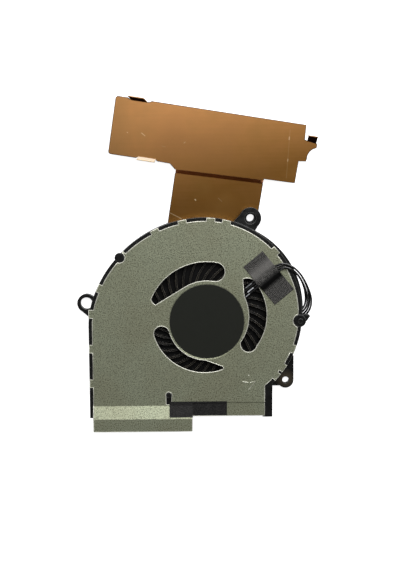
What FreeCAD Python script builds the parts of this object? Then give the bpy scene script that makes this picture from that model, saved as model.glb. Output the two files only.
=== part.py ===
"""Laptop blower fan with a folded copper heat spreader, as a parametric FreeCAD document.

The fan axis is the Z axis while the pieces are built. The motor-side steel plate is on top,
the inlet cover is underneath, and the three screw ears stand on Z = 0. Lengths are in mm.
"""
import FreeCAD, Part
import math
import os
from FreeCAD import Placement, Rotation, Vector

SIZES = [
    # place of the fan axis, measured from the middle of the whole part
    ("axis_x", 3.85), ("axis_y", -22.75),
    # levels of the stack
    ("ear_foot_gap", 1.8), ("cover_thickness", 0.4), ("frame_top", 10.6), ("plate_thickness", 0.5),
    # scroll outline: three tangent arcs and the straight outlet wall
    ("scroll_x", -0.9), ("scroll_y", 2.7), ("scroll_radius", 39.0), ("scroll_turn", 95.0),
    ("middle_radius", 48.0), ("middle_turn", 159.0), ("last_radius", 36.0),
    ("outlet_wall_x", 26.2), ("outlet_end_y", -39.0),
    ("middle_x", "=scroll_x + (scroll_radius - middle_radius) * cos(scroll_turn * 1deg)"),
    ("middle_y", "=scroll_y + (scroll_radius - middle_radius) * sin(scroll_turn * 1deg)"),
    ("last_x", "=middle_x + (middle_radius - last_radius) * cos(middle_turn * 1deg)"),
    ("last_y", "=middle_y + (middle_radius - last_radius) * sin(middle_turn * 1deg)"),
    # moulded frame
    ("wall", 1.3), ("skirt", 0.7), ("ledge_width", 1.3), ("ledge_depth", 1.0),
    ("outlet_block", 2.5), ("plate_margin", 1.5), ("rail_width", 1.0), ("rail_bottom", 7.4),
    ("rail_top", 10.2),
    ("bar_width", 1.6), ("bar_depth", 1.0), ("bar_y", -35.6), ("peg_radius", 0.95),
    ("arm_width", 1.9), ("keyhole_x", -15.5), ("keyhole_y", -29.8), ("keyhole_gap", 0.4), ("peg_stand", 0.3),
    # screw ears, each at a turn about its scroll arc's centre and a reach past the scroll
    ("tall_ear_turn", 64.16), ("tall_ear_reach", 3.67), ("tall_ear_radius", 4.25), ("tall_ear_foot", 3.3),
    ("tall_ear_x", "=scroll_x + (scroll_radius + tall_ear_reach) * cos(tall_ear_turn * 1deg)"),
    ("tall_ear_y", "=scroll_y + (scroll_radius + tall_ear_reach) * sin(tall_ear_turn * 1deg)"),
    ("tall_ear_top", 7.0), ("tall_ear_bore", 1.65), ("tall_ear_recess", 2.4), ("tall_ear_recess_depth", 1.0),
    ("ring_ear_turn", 166.8), ("ring_ear_reach", 2.4), ("ring_ear_radius", 3.7), ("ring_ear_bore", 2.5),
    ("ring_ear_x", "=last_x + (last_radius + ring_ear_reach) * cos(ring_ear_turn * 1deg)"),
    ("ring_ear_y", "=last_y + (last_radius + ring_ear_reach) * sin(ring_ear_turn * 1deg)"),
    ("ring_ear_top", 3.2), ("flat_ear_turn", -40.43), ("flat_ear_reach", 4.48), ("flat_ear_radius", 3.2),
    ("flat_ear_x", "=scroll_x + (scroll_radius + flat_ear_reach) * cos(flat_ear_turn * 1deg)"),
    ("flat_ear_y", "=scroll_y + (scroll_radius + flat_ear_reach) * sin(flat_ear_turn * 1deg)"),
    ("flat_ear_bore", 1.45), ("flat_ear_top", 3.0),
    # pegs that locate the plate, and the cable hook
    ("corner_peg_turn", 136.9), ("corner_peg_inset", 0.77), ("corner_peg_radius", 1.85), ("peg_gap", 0.35),
    ("corner_peg_x", "=middle_x + (middle_radius - corner_peg_inset) * cos(corner_peg_turn * 1deg)"),
    ("corner_peg_y", "=middle_y + (middle_radius - corner_peg_inset) * sin(corner_peg_turn * 1deg)"),
    ("hook_turn", -3.9), ("hook_inset", 0.81), ("hook_radius", 2.4), ("hook_nose_x", 4.2),
    ("hook_nose_y", 1.8),
    ("hook_x", "=scroll_x + (scroll_radius - hook_inset) * cos(hook_turn * 1deg)"),
    ("hook_y", "=scroll_y + (scroll_radius - hook_inset) * sin(hook_turn * 1deg)"),
    # stamped base plate
    ("pan_radius", 15.1), ("pan_depth", 0.35), ("lip_left", -45.9), ("lip_right", -6.2),
    ("lip_bend_y", -34.1),
    ("lip_slope_end", -39.4), ("lip_end", -44.4), ("lip_rise", 1.2), ("step_y", -32.7), ("step_depth", 0.3),
    ("step_run", 0.4), ("shelf_end", -38.4), ("shelf_gap", 0.3), ("plate_right", 23.1), ("tab_width", 3.2),
    # inlet cover
    ("inlet_radius", 22.5), ("cover_gap", 0.1), ("cover_end", -38.0),
    # impeller and rotor
    ("impeller_radius", 31.5), ("hub_radius", 14.2), ("hub_bottom", 2.8), ("hub_skin", 0.7), ("hub_top", 8.6),
    ("blade_count", 36), ("blade_thickness", 0.55), ("blade_bottom", 2.95), ("blade_top", 9.6),
    ("web_radius", 25.2), ("web_level", 5.3), ("web_thickness", 0.5),
    ("relief_radius", 25.6), ("blade_middle_radius", 22.5), ("blade_middle_lag", 17.5), ("blade_lag", 36.0),
    ("yoke_skin", 0.5), ("magnet_thickness", 1.5), ("magnet_height", 3.6), ("magnet_drop", 0.2),
    ("shaft_radius", 0.75), ("shaft_end_gap", 0.05), ("bearing_clearance", 0.03), ("groove_depth", 0.15),
    ("groove_height", 0.4), ("groove_below_end", 0.45), ("ring_clearance", 0.06),
    ("boss_radius", 2.2), ("boss_height", 0.9),
    # bearing and stator
    ("sleeve_radius", 1.9), ("tube_radius", 2.6), ("tube_bottom", 5.0), ("tube_flange", 4.2),
    ("flange_height", 0.5),
    ("pad_height", 0.3), ("air_gap", 0.35), ("core_bottom", 5.4), ("core_height", 2.2), ("core_ring", 4.6),
    ("teeth", 6), ("tooth_width", 1.8), ("shoe_thickness", 0.9), ("slot_width", 1.4),
    ("insulator_skin", 0.25),
    ("coil_build", 0.55), ("coil_inner", 5.1), ("coil_outer", 9.0), ("coil_gap", 0.02),
    ("board_radius", 12.6), ("board_thickness", 0.7), ("board_hole", 4.4), ("board_gap", 0.15),
    ("chip_length", 3.0), ("chip_width", 2.6), ("chip_height", 0.5), ("chip_turn", 215.0),
    ("chip_reach", 9.6),
    # label and tapes
    ("label_radius", 14.8), ("label_thickness", 0.1), ("tape_slack", 0.35), ("tape_thickness", 0.15),
    ("tape_x", 24.75), ("tape_y", 17.45),
    ("tape_turn", 39.5), ("tape_length", 19.8), ("tape_width", 10.0), ("tape_hump", 5.2), ("hump_flat", 4.1),
    ("hump_shift", -1.3),
    ("outlet_tape_left", -15.3), ("outlet_tape_right", 7.9), ("outlet_tape_end", -38.7),
    ("outlet_tape_thickness", 0.12), ("outlet_tape_lap", 0.3),
    # leads and plug
    ("lead_diameter", 0.8), ("lead_pitch", 0.92), ("plug_length", 4.6),
    ("plug_width", 4.4), ("plug_height", 1.4), ("plug_bottom", 0.2), ("plug_clearance", 0.02),
    ("contact_width", 0.4),
    ("contact_pitch", 0.9), ("contact_depth", 0.35),
    # copper sheet, drawn square to its own bar and turned about the fan axis
    ("spreader_turn", -9.0), ("copper_thickness", 0.35), ("stem_top", 1.65), ("bar_lift", 2.0),
    ("bar_left", -49.0), ("bar_right", 27.1), ("bar_low", 60.1), ("bar_high", 83.2), ("stem_left", -21.3),
    ("stem_right", 14.1), ("stem_end", 30.0), ("fold_v", 58.7), ("fold_run", 1.5), ("fold_skew", 1.6),
    ("shelf_left", -24.0), ("shelf_low", 57.9), ("arm_high", 77.3), ("arm_tip", 33.0), ("arm_tip_low", 74.9),
    ("arm_low", 69.0), ("corner_u", 26.6), ("tab_lift", 2.2), ("tab_lean", 1.4), ("ear_clearance", 0.3),
    ("adhesive_left", -15.0), ("adhesive_right", 8.0), ("adhesive_low", 31.0), ("adhesive_high", 36.0),
]

doc = FreeCAD.newDocument("laptop_fan")
sheet = doc.addObject("Spreadsheet::Sheet", "sizes")
for row, (alias, value) in enumerate(SIZES, start=1):
    sheet.set(f"A{row}", alias)
    sheet.set(f"B{row}", str(value))
    sheet.setAlias(f"B{row}", alias)
doc.recompute()


def size(name):
    """Read one driving dimension from the sheet."""
    return float(sheet.get(name))


def bound(text):
    """Turn plain names in an expression into names of the sheet's cells."""
    names = {alias for alias, _ in SIZES}
    words = text.replace("(", " ( ").replace(")", " ) ").split()
    return " ".join(f"sizes.{word}" if word in names else word for word in words)


def polar(radius, angle, centre=(0.0, 0.0)):
    """Point at a radius and an angle in degrees about a centre."""
    turn = math.radians(angle)
    return Vector(centre[0] + radius * math.cos(turn), centre[1] + radius * math.sin(turn), 0)


def place(thing):
    """Carry a finished piece, wherever it lies about the fan axis, into the part's frame."""
    base = thing.Placement.Base
    thing.setExpression("Placement.Base.x", f"sizes.axis_x + ({base.x})")
    thing.setExpression("Placement.Base.y", f"sizes.axis_y + ({base.y})")


PIECES = []


def named(thing, label):
    """Give a finished sub-part its label and its place, and keep it for export."""
    thing.Label = label
    place(thing)
    PIECES.append(thing)
    return thing


class Design:
    """A PartDesign body that grows by sketches on its origin planes."""

    def __init__(self, label):
        self.body = doc.addObject("PartDesign::Body", label)
        self.count = 0
        named(self.body, label)

    def sketch(self, geometry, level="0", role="XY_Plane"):
        """Draw closed outlines at a level above an origin plane."""
        self.count += 1
        sketch = self.body.newObject("Sketcher::SketchObject", f"{self.body.Name}_sketch_{self.count}")
        plane = next(item for item in self.body.Origin.OriginFeatures if item.Role == role)
        sketch.AttachmentSupport = [(plane, "")]
        sketch.MapMode = "FlatFace"
        sketch.setExpression(".AttachmentOffset.Base.z", bound(level))
        sketch.addGeometry(geometry, False)
        return sketch

    def circles(self, rings, level="0"):
        """Draw circles whose centres and radii follow the sheet: (x, y, radius) as expressions."""
        drafts = [Part.Circle(Vector(0, 0, 0), Vector(0, 0, 1), 1 + i) for i in range(len(rings))]
        sketch = self.sketch(drafts, level)
        for i, (x, y, radius) in enumerate(rings):
            import Sketcher
            for kind, text in (("DistanceX", x), ("DistanceY", y)):
                sketch.addConstraint(Sketcher.Constraint(kind, -1, 1, i, 3, 0.0))
                sketch.setExpression(f"Constraints[{sketch.ConstraintCount - 1}]", bound(text))
            sketch.addConstraint(Sketcher.Constraint("Radius", i, 1.0 + i))
            sketch.setExpression(f"Constraints[{sketch.ConstraintCount - 1}]", bound(radius))
        return sketch

    def feature(self, kind, sketch, length, downward=False):
        """Add a Pad or a Pocket with a length bound to the sheet."""
        self.count += 1
        feature = self.body.newObject(f"PartDesign::{kind}", f"{self.body.Name}_{kind}_{self.count}".lower())
        feature.Profile = sketch
        feature.setExpression("Length", bound(length))
        feature.Reversed = downward
        return feature

    def pad(self, sketch, length, downward=False):
        return self.feature("Pad", sketch, length, downward)

    def pocket(self, sketch, length, upward=False):
        return self.feature("Pocket", sketch, length, upward)

    def revolve(self, points):
        """Turn a closed profile of (radius, height) points about the fan axis."""
        corners = [Vector(r, z, 0) for r, z in points]
        sketch = self.sketch(closed(corners), "0", "XZ_Plane")
        turn = self.body.newObject("PartDesign::Revolution", f"{self.body.Name}_turn")
        turn.Profile = sketch
        turn.ReferenceAxis = (sketch, ["V_Axis"])
        turn.Angle = 360
        return turn


def closed(points):
    """Straight edges round a closed outline."""
    return [Part.LineSegment(points[i - 1], points[i]) for i in range(len(points))]


def rectangle(x0, y0, x1, y1):
    """Closed rectangle from its two corners."""
    return closed([Vector(x0, y0, 0), Vector(x1, y0, 0), Vector(x1, y1, 0), Vector(x0, y1, 0)])


def three_point(start, middle, end):
    """Circular arc through three points."""
    return Part.Arc(start, middle, end)


class Scroll:
    """The volute's outline: three tangent arcs, moved inwards by a margin."""

    def __init__(self, margin):
        self.first = (size("scroll_x"), size("scroll_y"))
        self.radii = [size("scroll_radius"), size("middle_radius"), size("last_radius")]
        self.second = (size("middle_x"), size("middle_y"))
        self.third = (size("last_x"), size("last_y"))
        self.margin = margin

    def radius(self, index):
        return self.radii[index] - self.margin

    def left(self):
        """X of the straight left wall."""
        return self.third[0] - self.radius(2)

    def first_at(self, angle):
        return polar(self.radius(0), angle, self.first)

    def crossing(self, x):
        """Point where the first arc meets an upright line right of its centre, below it."""
        drop = math.sqrt(self.radius(0) ** 2 - (x - self.first[0]) ** 2)
        return Vector(x, self.first[1] - drop, 0)

    def angle_of(self, point):
        return math.degrees(math.atan2(point.y - self.first[1], point.x - self.first[0]))

    def arcs(self, start_angle):
        """Edges from a start on the first arc, anticlockwise to the left wall."""
        turn_one, turn_two = size("scroll_turn"), size("middle_turn")
        half = 0.5 * (start_angle + turn_one)
        edges = [three_point(self.first_at(start_angle), self.first_at(half), self.first_at(turn_one))]
        for index, centre, low, high in ((1, self.second, turn_one, turn_two),
                                         (2, self.third, turn_two, 180.0)):
            ends = [polar(self.radius(index), angle, centre) for angle in (low, 0.5 * (low + high), high)]
            edges.append(three_point(*ends))
        return edges

    def outline(self, right_x, left_end, right_end):
        """Closed outline down to the outlet, with its own ends left and right."""
        corner = self.crossing(right_x)
        edges = self.arcs(self.angle_of(corner))
        corners = [Vector(self.left(), self.third[1], 0), Vector(self.left(), left_end, 0)]
        if left_end != right_end:
            middle = 0.5 * (self.left() + right_x)
            corners += [Vector(middle, left_end, 0), Vector(middle, right_end, 0)]
        corners += [Vector(right_x, right_end, 0), corner]
        return edges + [Part.LineSegment(a, b) for a, b in zip(corners, corners[1:])]


def shell_outline(outer, inner, outer_right, inner_right, outer_end, inner_end):
    """C-shaped outline between two scrolls, open at the outlet."""
    outer_corner, inner_corner = outer.crossing(outer_right), inner.crossing(inner_right)
    outside = outer.arcs(outer.angle_of(outer_corner))
    inside = inner.arcs(inner.angle_of(inner_corner))
    left = [Vector(outer.left(), outer.third[1], 0), Vector(outer.left(), outer_end, 0),
            Vector(inner.left(), outer_end, 0), Vector(inner.left(), inner.third[1], 0)]
    right = [inner_corner, Vector(inner_right, inner_end, 0), Vector(outer_right, inner_end, 0), outer_corner]
    straight = [Part.LineSegment(a, b) for side in (left, right) for a, b in zip(side, side[1:])]
    return outside + inside + straight


cover_bottom = "ear_foot_gap"
cover_top = "ear_foot_gap + cover_thickness"
plate_bottom = size("frame_top")
plate_top = size("frame_top") + size("plate_thickness")


def frame():
    """Moulded frame: scroll wall, ledge, ears, hook, pegs and outlet bar, in one piece."""
    part = Design("housing_frame")
    right = size("outlet_wall_x")
    wall = size("wall")
    end = size("outlet_end_y")
    inner_right = right - size("outlet_block") - wall
    outer = Scroll(0)
    # ears and their webs rise from the feet before the wall is drawn through them
    part.pad(part.circles([("tall_ear_x", "tall_ear_y", "tall_ear_foot")]), "tall_ear_top")
    part.pad(part.circles([("tall_ear_x", "tall_ear_y", "tall_ear_radius")], cover_top),
             "tall_ear_top - ear_foot_gap - cover_thickness")
    part.pad(part.sketch(tall_ear_web(outer), cover_top), "tall_ear_top - ear_foot_gap - cover_thickness")
    part.pad(part.circles([("ring_ear_x", "ring_ear_y", "ring_ear_radius")]), "ring_ear_top")
    part.pad(part.sketch(ring_ear_web(outer)), "ring_ear_top")
    part.pad(part.circles([("flat_ear_x", "flat_ear_y", "flat_ear_radius")]), "flat_ear_top")
    part.pad(part.sketch(flat_ear_web(outer)), "flat_ear_top")
    # bores go through the ears only
    part.pocket(part.circles([("tall_ear_x", "tall_ear_y", "tall_ear_bore")]), "frame_top", True)
    part.pocket(part.circles([("tall_ear_x", "tall_ear_y", "tall_ear_recess")], "tall_ear_top"),
                "tall_ear_recess_depth")
    part.pocket(part.circles([("ring_ear_x", "ring_ear_y", "ring_ear_bore")]), "frame_top", True)
    part.pocket(part.circles([("flat_ear_x", "flat_ear_y", "flat_ear_bore")]), "frame_top", True)
    # room for the inlet cover
    cover = Scroll(size("skirt"))
    room = cover.outline(right - size("skirt"), size("outlet_end_y") - 1, size("outlet_end_y") - 1)
    part.pocket(part.sketch(room), cover_top, True)
    # scroll wall, its skirt round the cover, and the ledge that the steel plate lies on
    wall_height = "frame_top - ear_foot_gap - cover_thickness"
    part.pad(part.sketch(shell_outline(outer, Scroll(wall), right, inner_right, end, end), cover_top),
             wall_height)
    skirt = Scroll(size("skirt"))
    part.pad(part.sketch(shell_outline(outer, skirt, right, right - size("skirt"), end, end), cover_bottom),
             "cover_thickness")
    ledge = Scroll(wall + size("ledge_width"))
    ledge_right = inner_right - size("ledge_width")
    ledge_end = size("bar_y") - 0.5 * size("bar_width")
    part.pad(part.sketch(shell_outline(Scroll(0.5 * wall), ledge, right - 0.5 * wall, ledge_right, ledge_end,
                                       ledge_end),
                         "frame_top - ledge_depth"), "ledge_depth")
    # cable rail outside the wall, from the hook round to the leads
    rail = rail_outline(outer)
    part.pad(part.sketch(rail, "rail_bottom"), "rail_top - rail_bottom")
    # bar across the outlet with the arm that carries the keyhole peg
    bar_low = size("bar_y") - 0.5 * size("bar_width")
    bar_high = size("bar_y") + 0.5 * size("bar_width")
    part.pad(part.sketch(rectangle(outer.left() + 0.5 * wall, bar_low, inner_right + 0.5 * wall, bar_high),
                         "frame_top - step_depth - bar_depth"), "bar_depth")
    arm = 0.5 * size("arm_width")
    peg_x, peg_y = size("keyhole_x"), size("keyhole_y")
    arm_outline = [three_point(Vector(peg_x + arm, peg_y, 0), Vector(peg_x, peg_y + arm, 0),
                               Vector(peg_x - arm, peg_y, 0)),
                   Part.LineSegment(Vector(peg_x - arm, peg_y, 0), Vector(peg_x - arm, bar_high, 0)),
                   Part.LineSegment(Vector(peg_x - arm, bar_high, 0), Vector(peg_x + arm, bar_high, 0)),
                   Part.LineSegment(Vector(peg_x + arm, bar_high, 0), Vector(peg_x + arm, peg_y, 0))]
    part.pad(part.sketch(arm_outline, "frame_top - step_depth - bar_depth"), "bar_depth + step_depth")
    peg_height = "plate_thickness + peg_stand"
    part.pad(part.circles([("keyhole_x", "keyhole_y", "peg_radius")], "frame_top"), peg_height)
    # pegs that locate the plate
    part.pad(part.circles([("corner_peg_x", "corner_peg_y", "corner_peg_radius")], "frame_top - ledge_depth"),
             "ledge_depth + plate_thickness")
    part.pad(part.circles([("hook_x", "hook_y", "hook_radius")], "rail_bottom"),
             "frame_top + plate_thickness - rail_bottom")
    # seat of the plate's stepped shelf on the outlet wall
    seat = rectangle(size("lip_right"), size("outlet_end_y") - 1, size("plate_right") + size("cover_gap"),
                     size("step_y"))
    part.pocket(part.sketch(seat, "frame_top"), "step_depth")
    tip = hook_outline()
    part.pad(part.sketch(tip, "rail_bottom"), "rail_top - rail_bottom")
    part.pad(part.circles([("hook_x + 0.35", "hook_y - 0.1", "peg_radius")], "frame_top + plate_thickness"),
             "peg_stand")
    return part


def tall_ear_web(outer):
    """Web that runs from the tall ear's sides into the scroll wall."""
    x, y, radius = size("tall_ear_x"), size("tall_ear_y"), size("tall_ear_radius")
    left = polar(radius, 160.0, (x, y))
    right = polar(radius, -10.0, (x, y))
    return closed([left, outer_point(outer, 72.5, 0.4), outer_point(outer, 60.0, 0.4),
                   outer_point(outer, 58.5, 0.4), right])


def ring_ear_web(outer):
    """Web that runs from the ring ear down to the left wall."""
    x, y, radius = size("ring_ear_x"), size("ring_ear_y"), size("ring_ear_radius")
    inside = outer.left() + 0.5 * size("skirt")
    return closed([polar(radius, 215.0, (x, y)), Vector(inside, y - 1.7 * radius, 0),
                   Vector(inside, y + 0.8 * radius, 0), polar(radius, 100.0, (x, y))])


def flat_ear_web(outer):
    """Triangular web of the flat ear, up the scroll's side and across to the outlet wall."""
    x, y, radius = size("flat_ear_x"), size("flat_ear_y"), size("flat_ear_radius")
    return closed([Vector(x + radius, y, 0), Vector(x + radius, y + 3.1 * radius, 0),
                   outer_point(outer, -25.0, 0.4),
                   outer_point(outer, -45.0, 0.4), Vector(size("outlet_wall_x") - 0.4, y - 0.7 * radius, 0),
                   Vector(x - 0.4 * radius, y - 0.7 * radius, 0), polar(radius, -90.0, (x, y))])


def outer_point(outer, angle, inset):
    """Point just inside the scroll's outer face, at an angle about its first centre."""
    return polar(outer.radius(0) - inset, angle, outer.first)


def rail_outline(outer):
    """Crescent rail: an arc that swells out from the wall and returns to it."""
    inner_radius = outer.radius(0) - 0.5 * size("wall")
    start, end = -2.0, 62.0
    reach = outer.radius(0) + size("rail_width")
    inside = [polar(inner_radius, angle, outer.first) for angle in (start, 0.5 * (start + end), end)]
    outside = [polar(outer.radius(0), start, outer.first), polar(reach, 0.5 * (start + end), outer.first),
               polar(outer.radius(0), end, outer.first)]
    return [three_point(*inside), three_point(*outside), Part.LineSegment(inside[0], outside[0]),
            Part.LineSegment(inside[2], outside[2])]


def hook_outline():
    """Pointed nose of the cable hook, beside its round boss."""
    x, y, radius = size("hook_x"), size("hook_y"), size("hook_radius")
    tip = Vector(x + size("hook_nose_x"), y + size("hook_nose_y"), 0)
    return closed([polar(radius, 75.0, (x, y)), polar(radius, -60.0, (x, y)),
                   Vector(tip.x - 1.4, tip.y - 1.9, 0), tip,
                   Vector(tip.x - 0.5, tip.y + 0.5, 0)])


def plate_tabs(scroll_outer, scroll_plate):
    """Rim tabs of the steel plate, as (kind, place, half width) along the rim."""
    arcs = [(0, angle) for angle in (-41.0, -34.5, -21.5, 42.0, 76.5, 86.0)]
    arcs += [(1, angle) for angle in (101.5, 115.5, 135.5, 155.0)]
    centres = [scroll_outer.first, scroll_outer.second, scroll_outer.third]
    half = 0.5 * size("tab_width")
    shapes = []
    for index, angle in arcs:
        turn = math.radians(angle)
        along = Vector(-math.sin(turn), math.cos(turn), 0) * half
        low = polar(scroll_plate.radius(index) - half, angle, centres[index])
        high = polar(scroll_outer.radius(index) - 0.15, angle, centres[index])
        shapes.append(closed([low - along, high - along, high + along, low + along]))
    for y in (3.4, -10.7, -24.8):
        shapes.append(rectangle(scroll_outer.left() + 0.15, y - half, scroll_plate.left() + half, y + half))
    return shapes


class Window:
    """One curved air window: two arcs, a round end and a straight run to a rounded tip."""

    def __init__(self, outer, outer_centre, inner, inner_centre, tip, inner_end, outer_start, round_end):
        self.outer, self.outer_centre = outer, outer_centre
        self.inner, self.inner_centre = inner, inner_centre
        self.tip, self.inner_end, self.outer_start, self.round_end = tip, inner_end, outer_start, round_end

    def outline(self):
        """Closed outline of the window, with its tip cut to a short blunt edge."""
        outer_start = polar(self.outer, self.outer_start, self.outer_centre)
        outer_end = polar(self.outer, self.round_end, self.outer_centre)
        inner_start = polar(self.inner, self.round_end, self.inner_centre)
        inner_end = polar(self.inner, self.inner_end, self.inner_centre)
        outer_middle = polar(self.outer, 0.5 * (self.outer_start + self.round_end), self.outer_centre)
        inner_middle = polar(self.inner, 0.5 * (self.inner_end + self.round_end), self.inner_centre)
        middle = (outer_end + inner_start) * 0.5
        chord = outer_end - inner_start
        sense = 1 if self.round_end < self.outer_start else -1
        away = Vector(chord.y, -chord.x, 0) * sense
        bulge = middle + away * 0.5
        tip = polar(*self.tip)
        tip_middle = (outer_start + tip) * 0.5 + (tip - inner_end).normalize() * 0.45
        return [three_point(outer_start, outer_middle, outer_end), three_point(outer_end, bulge, inner_start),
                three_point(inner_start, inner_middle, inner_end), Part.LineSegment(inner_end, tip),
                three_point(tip, tip_middle, outer_start)]


WINDOWS = [
    Window(24.2, (0.0, 0.0), 16.45, (0.0, 0.0), (21.6, 161.5), 120.5, 157.0, 80.0),
    Window(21.2, (2.9, 2.55), 17.65, (-0.85, 2.04), (22.4, 50.0), 27.0, 43.0, -36.0),
    Window(21.3, (-0.9, 0.6), 15.6, (0.0, 0.0), (19.0, -71.5), -92.0, -70.0, -164.0),
]


def base_plate():
    """Stamped steel plate: rim tabs, drawn pan, three windows, notches and the bent outlet lip."""
    part = Design("base_plate")
    outer, edge = Scroll(0), Scroll(size("plate_margin"))
    right = size("plate_right")
    outline = edge.outline(right, size("lip_bend_y"), size("step_y"))
    # the split between the lip and the shelf stands beside the lip's right end
    middle = 0.5 * (edge.left() + right)
    outline = [item for item in outline if not touches(item, middle)]
    split = size("lip_right")
    corners = [Vector(edge.left(), size("lip_bend_y"), 0), Vector(split, size("lip_bend_y"), 0),
               Vector(split, size("step_y"), 0), Vector(right, size("step_y"), 0)]
    outline += [Part.LineSegment(a, b) for a, b in zip(corners, corners[1:])]
    part.pad(part.sketch(outline, "frame_top"), "plate_thickness")
    for shape in plate_tabs(outer, edge):
        part.pad(part.sketch(shape, "frame_top"), "plate_thickness")
    # outlet lip on the left and the stepped shelf on the right, drawn from the side
    lip, shelf = (sheet_profile(line, size("plate_thickness")) for line in (lip_line(), shelf_line()))
    part.pad(part.sketch(lip, "lip_left", "YZ_Plane"), "lip_right - lip_left")
    part.pad(part.sketch(shelf, "lip_right + shelf_gap", "YZ_Plane"), "plate_right - lip_right - shelf_gap")
    # drawn pan for the motor
    part.pad(part.circles([("0", "0", "pan_radius + plate_thickness")], "frame_top - pan_depth"), "pan_depth")
    part.pocket(part.circles([("0", "0", "pan_radius")], "frame_top + plate_thickness"), "pan_depth")
    for window in WINDOWS:
        part.pocket(part.sketch(window.outline(), "frame_top + plate_thickness"),
                    "plate_thickness + pan_depth")
    # notches round the frame's pegs, and the keyhole
    part.pocket(part.circles([("corner_peg_x", "corner_peg_y", "corner_peg_radius + peg_gap")],
                             "frame_top + plate_thickness"), "plate_thickness")
    part.pocket(part.circles([("hook_x", "hook_y", "hook_radius + peg_gap")], "frame_top + plate_thickness"),
                "plate_thickness")
    part.pocket(part.circles([("keyhole_x", "keyhole_y", "peg_radius + keyhole_gap")],
                             "frame_top + plate_thickness"), "plate_thickness")
    slot = size("peg_radius") + 0.6 * size("keyhole_gap")
    part.pocket(part.sketch(rectangle(size("keyhole_x") - slot, size("lip_bend_y") + 0.4,
                                      size("keyhole_x") + slot,
                                      size("keyhole_y")), "frame_top + plate_thickness"), "plate_thickness")
    return part


def touches(item, x):
    """True for a straight edge that has an end at the given X."""
    ends = (item.StartPoint, item.EndPoint)
    return any(abs(point.x - x) < 1e-6 for point in ends)


def offset_line(line, thickness):
    """Upper line of a bent sheet, from its lower line and its thickness."""
    upper = []
    for index, (a, z) in enumerate(line):
        normals = []
        for first, second in ((index - 1, index), (index, index + 1)):
            if first >= 0 and second < len(line):
                (a0, z0), (a1, z1) = line[first], line[second]
                run = Vector(a1 - a0, z1 - z0, 0).normalize()
                side = Vector(-run.y, run.x, 0)
                normals.append(side if side.y > 0 else side * -1)
        bisector = sum(normals[1:], normals[0]).normalize()
        shifted = Vector(a, z, 0) + bisector * (thickness / bisector.dot(normals[0]))
        upper.append((shifted.x, shifted.y))
    return upper


def sheet_profile(line, thickness):
    """Closed profile of a bent sheet, from its lower line and its thickness."""
    corners = line + offset_line(line, thickness)[::-1]
    return closed([Vector(a, z, 0) for a, z in corners])


def lip_line():
    """Side view of the raised outlet lip's underside: level, slope, level."""
    bottom = size("frame_top")
    return [(size("lip_bend_y") + 0.2, bottom), (size("lip_bend_y"), bottom),
            (size("lip_slope_end"), bottom + size("lip_rise")), (size("lip_end"), bottom + size("lip_rise"))]


def shelf_line():
    """Side view of the underside of the shelf right of the lip: one small step down."""
    bottom = size("frame_top")
    return [(size("step_y") + 0.2, bottom), (size("step_y"), bottom),
            (size("step_y") - size("step_run"), bottom - size("step_depth")),
            (size("shelf_end"), bottom - size("step_depth"))]


def inlet_cover():
    """Thin sheet under the frame with the round air inlet."""
    part = Design("inlet_cover")
    edge = Scroll(size("skirt") + size("cover_gap"))
    right = size("outlet_wall_x") - size("skirt") - size("cover_gap")
    part.pad(part.sketch(edge.outline(right, size("cover_end"), size("cover_end")), cover_bottom),
             "cover_thickness")
    part.pocket(part.circles([("0", "0", "inlet_radius")], cover_top), "cover_thickness")
    return part


def turned(label, points):
    """A piece of revolution about the fan axis."""
    part = Design(label)
    part.revolve(points)
    return part


def rotor():
    """Impeller, steel yoke, ring magnet and shaft."""
    bottom, top, skin = size("hub_bottom"), size("hub_top"), size("hub_skin")
    hub = size("hub_radius")
    yoke_radius = hub - skin
    impeller = turned("impeller", [(0, bottom), (hub, bottom), (hub, top), (yoke_radius, top),
                                   (yoke_radius, bottom + skin), (0, bottom + skin)])
    blade = impeller.pad(impeller.sketch(blade_outline(), "blade_bottom"), "blade_top - blade_bottom")
    doc.recompute()
    pattern = impeller.body.newObject("PartDesign::PolarPattern", "blade_ring")
    pattern.Originals = [blade]
    axis = next(item for item in impeller.body.Origin.OriginFeatures if item.Role == "Z_Axis")
    pattern.Axis = (axis, [""])
    pattern.Angle = 360
    pattern.setExpression("Occurrences", "sizes.blade_count")
    impeller.body.Tip = pattern
    web = impeller.circles([("0", "0", "web_radius"), ("0", "0", "hub_radius - hub_skin / 2")], "web_level")
    impeller.pad(web, "web_thickness")
    relief = impeller.circles([("0", "0", "relief_radius"), ("0", "0", "hub_radius - hub_skin")],
                              "blade_top + 1")
    impeller.pocket(relief, "blade_top + 1 - hub_top")
    seat = bottom + skin
    sheet_skin = size("yoke_skin")
    boss, boss_top = size("boss_radius"), seat + size("boss_height")
    shaft = size("shaft_radius")
    turned("rotor_yoke", [(shaft, seat), (yoke_radius, seat), (yoke_radius, top - 0.1),
                          (yoke_radius - sheet_skin, top - 0.1),
                          (yoke_radius - sheet_skin, seat + sheet_skin), (boss, seat + sheet_skin),
                          (boss, boss_top),
                          (shaft, boss_top)])
    magnet_outer = yoke_radius - sheet_skin
    magnet_inner = magnet_outer - size("magnet_thickness")
    magnet_top = top - 0.1 - size("magnet_drop")
    magnet_low = magnet_top - size("magnet_height")
    turned("rotor_magnet", [(magnet_inner, magnet_low), (magnet_outer, magnet_low),
                            (magnet_outer, magnet_top),
                            (magnet_inner, magnet_top)])
    end = shaft_end()
    groove_top = end - size("groove_below_end")
    groove_low = groove_top - size("groove_height")
    neck = shaft - size("groove_depth")
    turned("rotor_shaft", [(0, seat), (shaft, seat), (shaft, groove_low), (neck, groove_low),
                           (neck, groove_top),
                           (shaft, groove_top), (shaft, end - 0.1), (shaft - 0.1, end), (0, end)])
    return magnet_inner


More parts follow.
